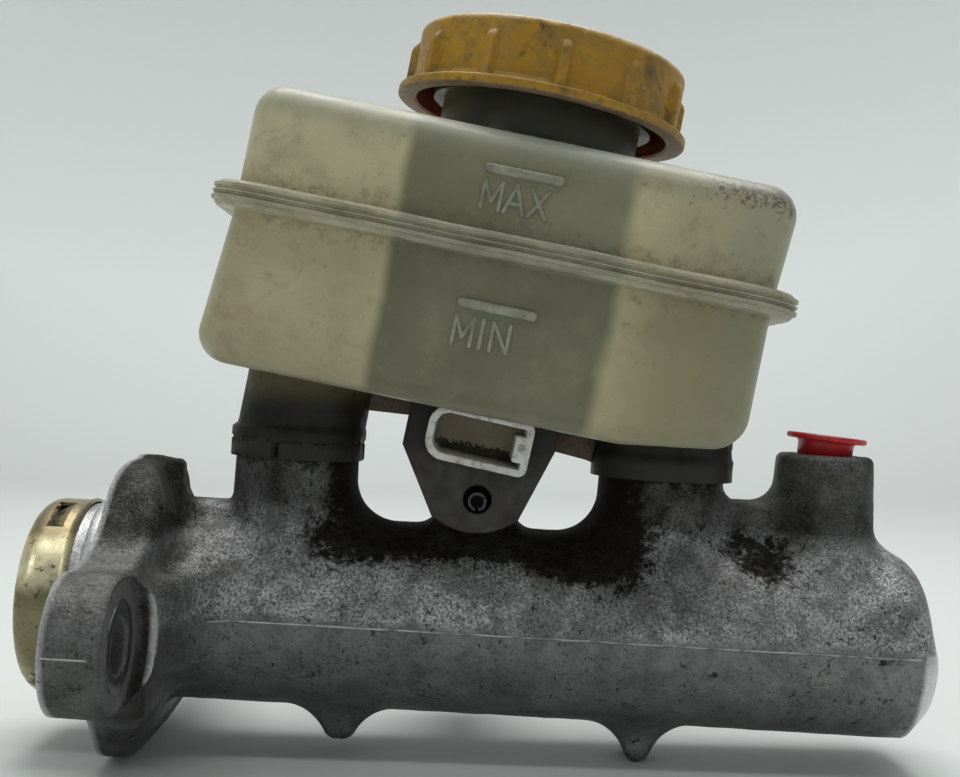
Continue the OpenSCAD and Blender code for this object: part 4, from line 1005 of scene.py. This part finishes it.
def stopper_cap():
    outer = [(STOP_HOLE_R, STOP_X0), (STOP_R - STOP_EDGE_R, STOP_X0)]
    for k in range(1, 8):
        a = math.radians(90 * k / 8)
        outer.append((STOP_R - STOP_EDGE_R * (1 - math.sin(a)), STOP_X0 + STOP_EDGE_R * (1 - math.cos(a))))
    outer += [(STOP_R, x) for x in np.arange(STOP_X0 + STOP_EDGE_R + 0.2, STOP_X1 - 0.5, 0.45)]
    outer += [(STOP_R + 0.1, STOP_X1 - 0.4), (STOP_R + 0.3, STOP_X1 - 0.05)]
    outer = np.array(outer)
    inner = outer.copy()
    slope = np.gradient(outer, axis=0)
    slope /= np.linalg.norm(slope, axis=1)[:, None]
    inner += np.stack([-slope[:, 1], slope[:, 0]], 1) * SHEET
    segments = 288
    angles = np.arange(segments) * 2 * math.pi / segments
    rows = len(outer)
    ring = np.arange(rows * segments).reshape(rows, segments)
    keep = np.ones((rows - 1, segments), bool)
    centre_x = (outer[:-1, 1] + outer[1:, 1]) / 2
    for c, claw in enumerate(CLAWS):
        turn = (angles + math.pi / segments - claw + math.pi) % (2 * math.pi) - math.pi
        arc = turn * STOP_R
        for k in range(segments):
            if abs(arc[k]) > 4.5:
                continue
            ragged = hashed(np.array(k // 2), np.array(c), np.array(5), 3) * 0.35
            keep[(centre_x > -14.3 + ragged) & (centre_x < -11.1), k] = False
    verts = np.array([(r * math.cos(a), r * math.sin(a), h) for r, h in [*outer, *inner] for a in angles])
    half = rows * segments
    faces = []
    for i in range(rows - 1):
        for k in range(segments):
            if not keep[i, k]:
                continue
            m = (k + 1) % segments
            a, b, c, d = ring[i, k], ring[i, m], ring[i + 1, m], ring[i + 1, k]
            faces.append((a, b, c, d))
            faces.append((half + d, half + c, half + b, half + a))
            if not keep[i, m]:
                faces.append((b, half + b, half + c, c))
            if not keep[i, k - 1]:
                faces.append((d, half + d, half + a, a))
            if i == 0 or not keep[i - 1, k]:
                faces.append((a, half + a, half + b, b))
            if i == rows - 2 or not keep[i + 1, k]:
                faces.append((c, half + c, half + d, d))
    parts = [(about_x(verts), faces)]
    # claws bent down into the groove, with torn ends
    for c, claw in enumerate(CLAWS):
        steps, cols = 8, 17
        v, f = [], []
        for layer in (0.0, -SHEET):
            for i in range(steps):
                t = i / (steps - 1)
                for k in range(cols):
                    w = (k / (cols - 1) - 0.5) * (9.0 - 3.4 * t)
                    tear = hashed(np.array(k), np.array(c), np.array(9), 4) * 0.4 * t
                    x = -10.8 - 3.0 * t - tear
                    r = STOP_R - 0.02 - 1.15 * t ** 1.3 + layer - 0.05 * abs(w) * t
                    a = claw + w / STOP_R
                    v.append((r * math.cos(a), r * math.sin(a), x))
        size = steps * cols

        def at(layer, i, k):
            return layer * size + i * cols + k

        for i in range(steps - 1):
            for k in range(cols - 1):
                f.append((at(0, i, k), at(0, i + 1, k), at(0, i + 1, k + 1), at(0, i, k + 1)))
                f.append((at(1, i, k + 1), at(1, i + 1, k + 1), at(1, i + 1, k), at(1, i, k)))
        for i in range(steps - 1):
            f.append((at(0, i, 0), at(1, i, 0), at(1, i + 1, 0), at(0, i + 1, 0)))
            f.append((at(0, i + 1, cols - 1), at(1, i + 1, cols - 1), at(1, i, cols - 1), at(0, i, cols - 1)))
        for k in range(cols - 1):
            f.append((at(0, 0, k + 1), at(1, 0, k + 1), at(1, 0, k), at(0, 0, k)))
            last = steps - 1
            f.append((at(0, last, k), at(1, last, k), at(1, last, k + 1), at(0, last, k + 1)))
        parts.append((about_x(np.array(v)), f))
    return join(*parts)


piece("stopper_cap_sheet", stopper_cap(), "cylinder", GOLD, ("stopper_cap",), sharp=45)


# ---- Springs ----

WIRE_R, COIL_R = 1.1, 8.0


def spring(x0, x1, turns):
    flat = 2 * WIRE_R * 1.06
    travel = x1 - x0 - 2 * WIRE_R
    pitch = (travel - 2 * flat) / (turns - 2)
    path = []
    for i in range(int(turns * 30) + 1):
        s = i / 30
        if s < 1:
            at = s * flat
        elif s > turns - 1:
            at = travel - (turns - s) * flat
        else:
            at = flat + (s - 1) * pitch
        a = 2 * math.pi * s
        path.append((x0 + WIRE_R + at, COIL_R * math.cos(a), COIL_R * math.sin(a)))
    return sweep(path, WIRE_R, 12)


primary_x, secondary_x = span("primary_spring"), span("secondary_spring")
coil = piece("primary_spring_coil", spring(primary_x[0][0], primary_x[1][0], 5.5), "secondary_piston",
             SPRING, ("primary_spring",))
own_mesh(coil)
coil = piece("secondary_spring_coil", spring(secondary_x[0][0], secondary_x[1][0], 7), "cylinder",
             SPRING, ("secondary_spring",))
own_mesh(coil)


# ---- Outlet plugs ----

# Soft push-in plug, from the middle of its lower end over its rim and down inside
PLUG = [(0.02, 0), (4.7, 0), (5.15, 0.6), (5.3, 4.6), (5.6, 5.1), (7.3, 5.15), (7.6, 5.45), (7.6, 5.95),
        (7.3, 6.25), (4.9, 6.3), (4.45, 6.0), (4.25, 5.2), (4.15, 1.4), (3.7, 1.0), (0.02, 1.0)]
plug_v, plug_f = lathe(PLUG, 64)
lean = Matrix.Rotation(math.radians(4.0), 3, "Y")
front_plug_low = span("front_outlet_plug")[0][2]
v = (plug_v - [0, 0, 3]) @ np.array(lean).T + [OUTLET_X, 0, front_plug_low + 3]
piece("front_plug_red", (v, plug_f), "front_plug", RED, ("front_outlet_plug",), sharp=50)
v = plug_v @ np.array([[1, 0, 0], [0, 0, -1], [0, 1, 0]]) + [SIDE_X, span("side_outlet_plug")[0][1], 0]
piece("side_plug_red", (v, plug_f), "side_plug", RED, ("side_outlet_plug",), sharp=50)


# ---- Reservoir, in its own tilted axes ----

def tank_outer(x, y, z, r=5.6):
    slope = math.tan(TILT)
    floor = TANK_FLOOR - z
    rising = (TANK_FLOOR + (x - KNEE) * slope - z) * math.cos(TILT)
    bottom = rmax(floor, rising, 0.01)
    # the lower shell's rear end and the upper shell's front end stand out a little more
    rear_flare = 1.9 * np.clip((76 - z) / 22, 0, 1)
    front_flare = 1.1 * np.clip((z - 79) / 14, 0, 1)
    a = np.maximum(TANK_X0 - rear_flare - x, x - TANK_X1 - front_flare) + r
    b = np.abs(y) - TANK_HALF + r
    c = np.maximum(bottom, z - TANK_ROOF) + r
    outside = np.sqrt(np.maximum(a, 0) ** 2 + np.maximum(b, 0) ** 2 + np.maximum(c, 0) ** 2)
    return outside + np.minimum(np.maximum(np.maximum(a, b), c), 0) - r


def wall_bow(x, z):
    """The big flat faces bow out a little, as blown panels do."""
    return 0.35 * np.clip(1 - ((x - 57) / 46) ** 2, 0, 1) * np.clip(1 - ((z - 74) / 25) ** 2, 0, 1)


def tank_field(x, y, z, upper):
    bow = wall_bow(x, z)
    outer = tank_outer(x, y, z) - bow
    rooms = tank_outer(x, y, z, 7.6) - bow + TANK_WALL
    for at in ROOM_WALLS:
        wall = both(np.abs(x - at) - 0.8, z - (TANK_ROOF - 6))
        rooms = cut(rooms, wall)
    shell = cut(outer, rooms)
    if upper:
        radial = np.hypot(x - NECK_X, y)
        neck = both(radial - NECK_R, z - COLLAR_LOW + 0.2)
        collar = both(radial - COLLAR_R, z - COLLAR_TOP, COLLAR_LOW - z)
        shell = rmin(shell, both(neck, TANK_ROOF - 3 - z), 1.0)
        shell = np.minimum(shell, collar)
        shell = both(shell, NECK_BORE - radial)
        return both(shell, BELT - z)
    return both(shell, z - BELT)


def belt_half(points):
    """One half of the weld belt: a profile of (stand-out, height) swept around the tank's plan."""
    profile = np.array(points, float)
    n, verts = 9, []
    front, rear, half = TANK_X1 - TANK_PLAN_R, TANK_X0 + TANK_PLAN_R, TANK_HALF - TANK_PLAN_R
    for cx, cy, start in ((front, half, 0), (rear, half, 90), (rear, -half, 180), (front, -half, 270)):
        for k in range(n):
            a = math.radians(start + 90 * k / (n - 1))
            for d, h in profile:
                r = TANK_PLAN_R + d
                verts.append((cx + r * math.cos(a), cy + r * math.sin(a), BELT + h))
    # long straights get more points
    verts = np.array(verts).reshape(-1, len(profile), 3)
    dense = []
    for i in range(len(verts)):
        dense.append(verts[i])
        j = (i + 1) % len(verts)
        gap = np.linalg.norm(verts[j, 0] - verts[i, 0])
        for k in range(1, int(gap // 4)):
            dense.append(mix(verts[i], verts[j], k / int(gap // 4)))
    dense = np.array(dense)
    flat = dense.reshape(-1, 3)
    flat[:, 2] += lumps(flat, 12, 41) * 0.10
    return flat, grid(len(dense), len(profile), wrap_rows=True, flip=True)


BELT_TOP = [(-1.6, 0), (4.1, 0.0), (4.25, 0.25), (3.7, 0.5), (3.75, 0.75), (4.2, 1.0), (4.15, 1.5),
            (3.4, 1.75), (3.1, 2.1), (0.4, 2.5), (-1.6, 2.5)]
BELT_LOW = [(-1.6, 0), (-1.6, -2.6), (0.4, -2.6), (3.1, -2.3), (3.5, -1.9), (3.6, -1.5), (4.2, -1.3),
            (4.25, -0.7), (3.7, -0.45), (4.1, -0.1)]
TANK_STEP = 1.15
tank_low = np.array([TANK_X0 - 2.0, -TANK_HALF, TANK_FLOOR])
tank_high = np.array([TANK_X1 + 1.2, TANK_HALF, COLLAR_TOP])
pad = 2.4 * TANK_STEP

mesh = contour(lambda x, y, z: tank_field(x, y, z, True), [*(tank_low[:2] - pad), BELT - pad],
               tank_high + pad, TANK_STEP)
helix = []
for k in range(61):
    a = 2 * math.pi * k / 40
    helix.append((NECK_X + 21.3 * math.cos(a), 21.3 * math.sin(a), 109.2 + 3.6 * k / 40))
thread = sweep(helix, [0.25 + 0.85 * min(1, k / 6, (60 - k) / 6) for k in range(61)], 8)
upper = join(mesh, belt_half(BELT_TOP), thread)
piece("reservoir_top", upper, "cylinder", TANK_UPPER, ("reservoir_upper",), sharp=35,
      place=TANK)
mesh = contour(lambda x, y, z: tank_field(x, y, z, False), tank_low - pad,
               [*(tank_high[:2] + pad), BELT + pad], TANK_STEP)
piece("reservoir_bottom", join(mesh, belt_half(BELT_LOW)), "cylinder", TANK_LOWER,
      ("reservoir_lower",), sharp=35, place=TANK)


# ---- Level marks: bars and plain stroke letters moulded on the near wall ----

def stroke(a, b, r, depth):
    """Rounded bar from a to b in X and Z that stands out of the wall towards -Y."""
    a, b = np.array(a, float), np.array(b, float)
    d = (b - a) / np.linalg.norm(b - a)
    n = np.array([-d[1], d[0]])
    arc, count = [math.pi * k / 8 for k in range(9)], 18
    outline = [b + r * (math.sin(t) * d + math.cos(t) * n) for t in arc]
    outline = np.array(outline + [a - r * (math.sin(t) * d + math.cos(t) * n) for t in arc])
    centre_line = np.repeat([b, a], count // 2, 0)
    rows = []
    for shrink, out in ((1.0, 0.5), (1.0, -0.55 * depth), (0.8, -0.9 * depth), (0.35, -1.0 * depth)):
        ring = centre_line + (outline - centre_line) * shrink
        rows.append(np.stack([ring[:, 0], np.full(count, out), ring[:, 1]], 1))
    faces = grid(len(rows), count, flip=True)
    last = (len(rows) - 1) * count
    faces += [tuple(range(last, last + count))[::-1], tuple(range(count))]
    return np.concatenate(rows), faces


LETTERS = {
    "M": (((0, 0), (0, 5)), ((0, 5), (1.6, 1.4)), ((1.6, 1.4), (3.2, 5)), ((3.2, 5), (3.2, 0))),
    "A": (((0, 0), (1.7, 5)), ((1.7, 5), (3.4, 0)), ((0.7, 1.7), (2.7, 1.7))),
    "X": (((0, 0), (3.2, 5)), ((0, 5), (3.2, 0))),
    "I": (((0.2, 0), (0.2, 5)),),
    "N": (((0, 0), (0, 5)), ((0, 5), (3.0, 0)), ((3.0, 0), (3.0, 5))),
}


def level_mark(bar_x, bar_z, word, word_x, word_z, advance):
    parts = [stroke((bar_x + 0.85, bar_z), (bar_x + 13.15, bar_z), 0.85, 0.75)]
    for letter, at in zip(word, advance):
        for a, b in LETTERS[letter]:
            shift = np.array([word_x + at, word_z])
            parts.append(stroke(np.array(a) * 0.97 + shift, np.array(b) * 0.97 + shift, 0.34, 0.38))
    v, f = join(*parts)
    v[:, 1] -= TANK_HALF + wall_bow(v[:, 0], v[:, 2])
    return v, f


piece("level_mark_max", level_mark(51, 91.2, "MAX", 51.6, 84.2, (0, 4.0, 8.2)), "cylinder", MARK,
      sharp=60, place=TANK)
piece("level_mark_min", level_mark(51, 67.6, "MIN", 51.4, 60.4, (0, 4.6, 6.6)), "cylinder", MARK,
      sharp=60, place=TANK)


# ---- Nozzles, tongues and ribs ----

C, S = math.cos(TILT), math.sin(TILT)


def to_tank(x, y, z):
    return x * C - z * S, y, x * S + z * C


def nozzle_field(x, y, z, centre, boss_r, skirt_r, rear):
    radial = np.hypot(x - centre, y)
    tx, _, tz = to_tank(x, y, z)
    tank = tank_outer(tx, y, tz)
    if rear:
        tilted = np.hypot(tx - 25.3, y)
        tube = both(tilted - 12.2, 33.6 - z, tz - 50.5)
        tier = rmax(radial - skirt_r, z - 35.3, 0.5)
        hole = both(tilted - 9.4, 36.2 - z)
        groove_z = 33.0
    else:
        tube = both(radial - skirt_r + 0.25, 33 - z, z - 38)
        tier = rmax(radial - skirt_r, z - 33.4, 0.3)
        hole = both(radial - 9.4, 35.5 - z)
        groove_z = 35.2
    body = rmin(tube, both(tier, 29.5 - z), 0.8)
    body = cut(body, both(radial - boss_r - 0.35, z - 32.6))
    spout = both(radial - 6.4, 23 - z, z - 34)
    body = np.minimum(body, spout)
    body = cut(body, hole)
    body = both(body, 4.8 - radial - both(z - 37, 0) * 9)
    line = both(np.abs(z - groove_z) - 0.35, skirt_r - 0.45 - radial)
    body = cut(body, line)
    return both(body, -tank - 0.6)


for name, node, centre, boss_r, skirt_r, rear in (
    ("rear_nozzle_skirt", "rear_nozzle", REAR_X, REAR_R, 12.9, True),
    ("front_nozzle_skirt", "front_nozzle", FRONT_X, FRONT_R, 13.7, False),
):
    low, high = span(node)
    mesh = contour(lambda x, y, z: nozzle_field(x, y, z, centre, boss_r, skirt_r, rear),
                   low - 2.2, high + 2.2, 0.8)
    piece(name, mesh, "cylinder", OLIVE, (node,), sharp=35)


def circle(cx, cz, r):
    a = np.arange(40) * 2 * math.pi / 40
    return np.stack([cx + r * np.cos(a), cz + r * np.sin(a)], 1)


def floor_z(x, up=0.0):
    """Height of the tank's underside at a place along the frame's X."""
    return (TANK_FLOOR + up - x * S) / C


SLEEVE_X, SLEEVE_Z = middle("sensor_sleeve")[0] - 0.1, middle("sensor_sleeve")[2] + 0.4
SLEEVE_TILT = TILT + math.radians(1.2)
SLEEVE_L, SLEEVE_H = 19.2, 10.0


def sleeve_loop(points, radii, n=6):
    """A loop in the sleeve's own axes, placed in X and Z."""
    p = rounded(points, radii, n)
    c, s = math.cos(SLEEVE_TILT), math.sin(SLEEVE_TILT)
    return np.stack([SLEEVE_X + p[:, 0] * c + p[:, 1] * s, SLEEVE_Z - p[:, 0] * s + p[:, 1] * c], 1)


def sleeve_outer(t=0.0):
    a, b = SLEEVE_L / 2 - t, SLEEVE_H / 2 - t
    return sleeve_loop([(-a, -b), (a, -b), (a, b), (-a, b)], [3.6 - t, 1.6 - t, 1.6 - t, 3.6 - t])


def tongue_outline():
    cx = LUG_X - 0.1
    side = [(cx + 14.4, 33.6), (cx + 15.0, floor_z(cx + 15.0, 0.8)), (cx - 13.0, floor_z(cx - 13.0, 0.8)),
            (cx - 14.4, 33.6)]
    low = []
    for k in range(13):
        a = math.radians(213 + 114 * k / 12)
        low.append((cx + 12.6 * math.cos(a), 30.0 + 12.6 * math.sin(a)))
    left_tip = (cx - 7.0 - (low[2][1] - 17.4) * 0.4, low[2][1])
    outline = [side[0], side[1], side[2], side[3], left_tip] + low[3:-3]
    outline.append((cx + 7.0 + (low[2][1] - 17.4) * 0.4, low[2][1]))
    return [list(p) for p in outline]


hole = circle(PIN[0], PIN[2] + 0.35, 2.65)
near = plate([tongue_outline(), sleeve_outer(-0.05), hole], 3.0, 0.35)
far = plate([tongue_outline(), hole], 3.0, 0.35)
piece("near_tongue_plate", (near[0] + [0, middle("near_tongue")[1], 0], near[1]), "cylinder", TONGUE,
      ("near_tongue",), sharp=40)
piece("far_tongue_plate", (far[0] + [0, middle("far_tongue")[1], 0], far[1]), "cylinder", TONGUE,
      ("far_tongue",), sharp=40)
rib_rear = [(42.0, floor_z(42, 0.8)), (42.0, 39.5), (44, 39.3), (50.9, 38.9), (54, 38.9),
            (54, floor_z(54, 0.8))]
rib_front = [(77, floor_z(77, 0.8)), (77, 34.1), (80.1, 33.4), (86.4, 32.1), (87.4, 31.7), (88.4, 31.6),
             (88.4, floor_z(88.4, 0.4))]
rear_rib, front_rib = plate([rib_rear], 2.4, 0.3), plate([rib_front], 2.4, 0.3)
piece("floor_ribs", join(rear_rib, front_rib), "cylinder", RIB, ("tongue_web",), sharp=40)


# ---- Level switch sleeve and spring pin ----

def sleeve():
    """Blind white loop with the switch's latch step at its square end."""
    near_y = -19.0
    a, b, t = SLEEVE_L / 2, SLEEVE_H / 2, 1.3
    inner = [(-a + t, -b + t), (a - t - 0.1, -b + t), (a - t - 0.1, -2.5), (a - t - 1.8, -2.5),
             (a - t - 1.8, 2.3), (a - t - 0.1, 2.3), (a - t - 0.1, b - t), (-a + t, b - t)]
    inner = sleeve_loop(inner, [2.4, 0.3, 0.2, 0.3, 0.3, 0.2, 0.3, 2.4], 4)
    tube = plate([sleeve_outer(), inner], 21.0, 0.22)
    lid = plate([sleeve_outer(0.1)], 1.3, 0.1)
    tube = (tube[0] + [0, near_y + 10.5, 0], tube[1])
    lid = (lid[0] + [0, near_y + 21.4, 0], lid[1])
    return tube, lid


tube, lid = sleeve()
piece("sensor_loop", tube, "cylinder", WHITE, ("sensor_sleeve",), sharp=40)
piece("sensor_loop_floor", lid, "cylinder", BROWN, sharp=40)


def spring_pin():
    """Rolled pin: a C of sheet about Y with chamfered ends and its gap at the bottom."""
    low, high = span("spring_pin")
    length = high[1] - low[1]
    gap = math.radians(24)
    angles = np.linspace(-math.pi / 2 + gap / 2, 1.5 * math.pi - gap / 2, 41)
    rings = [(1.25, 0.0), (1.75, 0.0), (2.03, 0.6), (2.03, length - 0.6), (1.75, length), (1.25, length)]
    verts = [(r * math.cos(a), h, r * math.sin(a)) for r, h in rings for a in angles]
    m, n = len(rings), len(angles)
    faces = grid(m, n, wrap_rows=True, wrap_columns=False, flip=True)
    faces += [tuple(i * n for i in range(m))[::-1], tuple(i * n + n - 1 for i in range(m))]
    return np.array(verts) + [PIN[0], low[1], PIN[2]], faces


piece("spring_pin_rolled", spring_pin(), "cylinder", PIN_STEEL, ("spring_pin",), sharp=45)
# a dark plug inside the rolled pin stands in for the shade in its hollow
v, f = lathe([(0.02, -4.0), (1.22, -4.0), (1.22, 4.0), (0.02, 4.0)], 24)
v = v @ np.array([[1, 0, 0], [0, 0, 1], [0, 1, 0]]) + [PIN[0], 0, PIN[2]]
piece("shade_plug_in_pin", (v, [q[::-1] for q in f]), "cylinder", RUBBER)


# ---- Filler cap ----

def filler_cap():
    ribs, segments = 12, 576
    outline = rounded([(24.7, 0.35), (25.2, 0.0), (28.3, 0.0), (28.3, 1.75), (26.3, 2.0), (25.95, 3.0),
                       (26.0, 13.5), (0.02, 13.7)],
                      [0.2, 0.2, 0.5, 0.6, 0.6, 0.8, 1.2, 0], 5, closed=False)
    dense = [outline[0]]
    for p in outline[1:]:
        gap = np.linalg.norm(p - dense[-1])
        steps = max(1, int(gap // 0.9)) if p[0] > 20 else 1
        start = dense[-1]
        dense += [mix(start, p, k / steps) for k in range(1, steps + 1)]
    inner = [(0.02, 11.2), (23.9, 11.2), (24.7, 10.6), (24.7, 5.0)]
    profile = np.array([tuple(p) for p in dense] + inner)

    def push(angle, height, radius):
        turn = (angle + math.radians(86)) % (2 * math.pi / ribs)
        turn = np.minimum(turn, 2 * math.pi / ribs - turn) * 26
        across = smooth(turn, 1.5, 0.8)
        top = smooth(height + 0.25 * turn ** 2, 10.2, 9.3)
        outer = (radius > 25.6) & (height > 1.5)
        grow = across * top * np.clip(27.25 - radius, 0, 2)
        return radius + np.where(outer, grow, 0)

    verts, faces = lathe(profile, segments, closed=True, push=push)
    rows = len(profile)
    parts = np.zeros(len(faces), int)
    radius, height = profile[:, 0], profile[:, 1]
    for i in range(rows):
        j = (i + 1) % rows
        r, h = (radius[i] + radius[j]) / 2, (height[i] + height[j]) / 2
        kind = 0
        if h < 0.3 and r > 25:
            kind = 1
        if r < 25.1 and h < 10.9 or i >= len(dense) - 1:
            kind = 2
        parts[i * segments:(i + 1) * segments] = kind
    verts = verts + [NECK_X, 0, CAP_Z]
    verts[:, 2] += lumps(verts, 14, 51) * 0.06
    return (verts, faces), parts


mesh, kinds = filler_cap()
piece("filler_cap_ribbed", mesh, "cap", [YELLOW, CAP_LIP, CAP_INSIDE], ("filler_cap",),
      sharp=40, place=TANK, parts=kinds)


# ---- CAD nodes whose shape stays ----

def finish_node(node, material):
    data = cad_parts[node].data
    data.materials.clear()
    data.materials.append(material)


for material, nodes in {
    STEEL: ("stopper_pin", "primary_cup_retainer", "primary_spring_screw", "primary_spring_seat",
            "secondary_cup_retainer"),
    PISTON: ("primary_piston", "secondary_piston"),
    RUBBER: ("rear_reservoir_seal", "front_reservoir_seal", "primary_rear_cup", "primary_front_cup",
             "secondary_rear_cups", "secondary_front_cup", "cap_gasket"),
    CLEAN_WHITE: ("float", "strainer"),
    MAGNET: ("float_magnet",),
}.items():
    for node in nodes:
        finish_node(node, material)


# ---- Camera, stage and light ----

data = bpy.data.cameras.new("camera")
data.lens = 48.75
data.clip_start = 0.01
camera = bpy.data.objects.new("camera", data)
aim = Matrix.Rotation(math.radians(-3.3), 4, "Y") @ Matrix.Rotation(math.pi / 2, 4, "X")
camera.matrix_world = Matrix.Translation((0.065, -0.2538, 0.0448)) @ aim
bpy.context.scene.collection.objects.link(camera)
bpy.context.scene.camera = camera


LOBE_TIP_X = 2.3
DISH_R = 700


def stage_dish():
    """Pale floor that curves up on all sides, standing where the lower lobe and the front foot rest."""
    floor_rise = math.atan2(FRONT_FOOT_Z + LOBE_Z, FRONT_FOOT - LOBE_TIP_X)
    profile = [(0.001, 0), (300, 0), (600, 0)]
    for k in range(1, 13):
        a = math.radians(80 * k / 12)
        profile.append((600 + DISH_R * math.sin(a), DISH_R - DISH_R * math.cos(a)))
    v, f = lathe(profile, 96, closed=False)
    v = v @ np.array(Matrix.Rotation(-floor_rise, 3, "Y")).T
    v += [LOBE_TIP_X, 0, -LOBE_Z - 0.05]
    surface = Surface("stage", Base_Color=(0.72, 0.75, 0.74, 1), Emission_Color=(0.95, 1.0, 0.985, 1),
                      Roughness=0.8)
    glow = surface.fit(surface.along("Y"), 600, 1000, 0.0, 0.28, soft=False)
    surface.feed(surface.shader.inputs["Emission Strength"], glow)
    mesh = bpy.data.meshes.new("stage")
    mesh.from_pydata((v * MM).tolist(), [], f)
    mesh.materials.append(surface.material)
    mesh.polygons.foreach_set("use_smooth", np.ones(len(mesh.polygons), bool))
    obj = bpy.data.objects.new("stage", mesh)
    bpy.context.scene.collection.objects.link(obj)


stage_dish()


def area(name, place, target, size, power, tint=(1, 1, 1)):
    light = bpy.data.lights.new(name, "AREA")
    light.shape = "RECTANGLE"
    light.size, light.size_y = size
    light.energy = power
    light.color = tint
    obj = bpy.data.objects.new(name, light)
    obj.location = place
    obj.rotation_mode = "QUATERNION"
    obj.rotation_quaternion = (Vector(target) - Vector(place)).to_track_quat("-Z", "Y")
    bpy.context.scene.collection.objects.link(obj)


area("overhead", (0.05, 0.22, 0.85), (0.07, 0.02, 0.03), (0.7, 0.5), 5.6, (1.0, 0.99, 0.97))
area("front_strip", (0.06, -0.34, 0.80), (0.07, 0.0, 0.02), (0.9, 0.10), 1.25, (0.97, 0.99, 1.0))
area("window", (-0.55, -0.55, 0.55), (0.04, 0.0, 0.03), (0.30, 0.30), 0.50, (0.96, 0.98, 1.0))


def studio_world():
    """A dim room: pale behind and above the object, dark on the side it is looked at from."""
    world = bpy.data.worlds.new("studio")
    world.use_nodes = True
    tree = world.node_tree
    place = tree.nodes.new("ShaderNodeTexCoord")
    split = tree.nodes.new("ShaderNodeSeparateXYZ")
    tree.links.new(place.outputs["Generated"], split.inputs[0])
    lean = tree.nodes.new("ShaderNodeMath")
    lean.operation = "MULTIPLY_ADD"
    tree.links.new(split.outputs["Z"], lean.inputs[0])
    lean.inputs[1].default_value = 0.8
    tree.links.new(split.outputs["Y"], lean.inputs[2])
    ramp = tree.nodes.new("ShaderNodeValToRGB")
    tones = ramp.color_ramp.elements
    tones[0].position, tones[1].position = 0.12, 0.95
    tones[0].color, tones[1].color = (0.035, 0.035, 0.034, 1), (0.60, 0.635, 0.63, 1)
    tones.new(0.5).color = (0.20, 0.205, 0.20, 1)
    scaled = tree.nodes.new("ShaderNodeMapRange")
    tree.links.new(lean.outputs[0], scaled.inputs["Value"])
    scaled.inputs["From Min"].default_value = -1.0
    scaled.inputs["From Max"].default_value = 1.2
    tree.links.new(scaled.outputs["Result"], ramp.inputs["Fac"])
    tree.links.new(ramp.outputs["Color"], tree.nodes["Background"].inputs["Color"])
    tree.nodes["Background"].inputs["Strength"].default_value = 0.75
    bpy.context.scene.world = world


studio_world()
bpy.context.scene.view_settings.view_transform = "Standard"
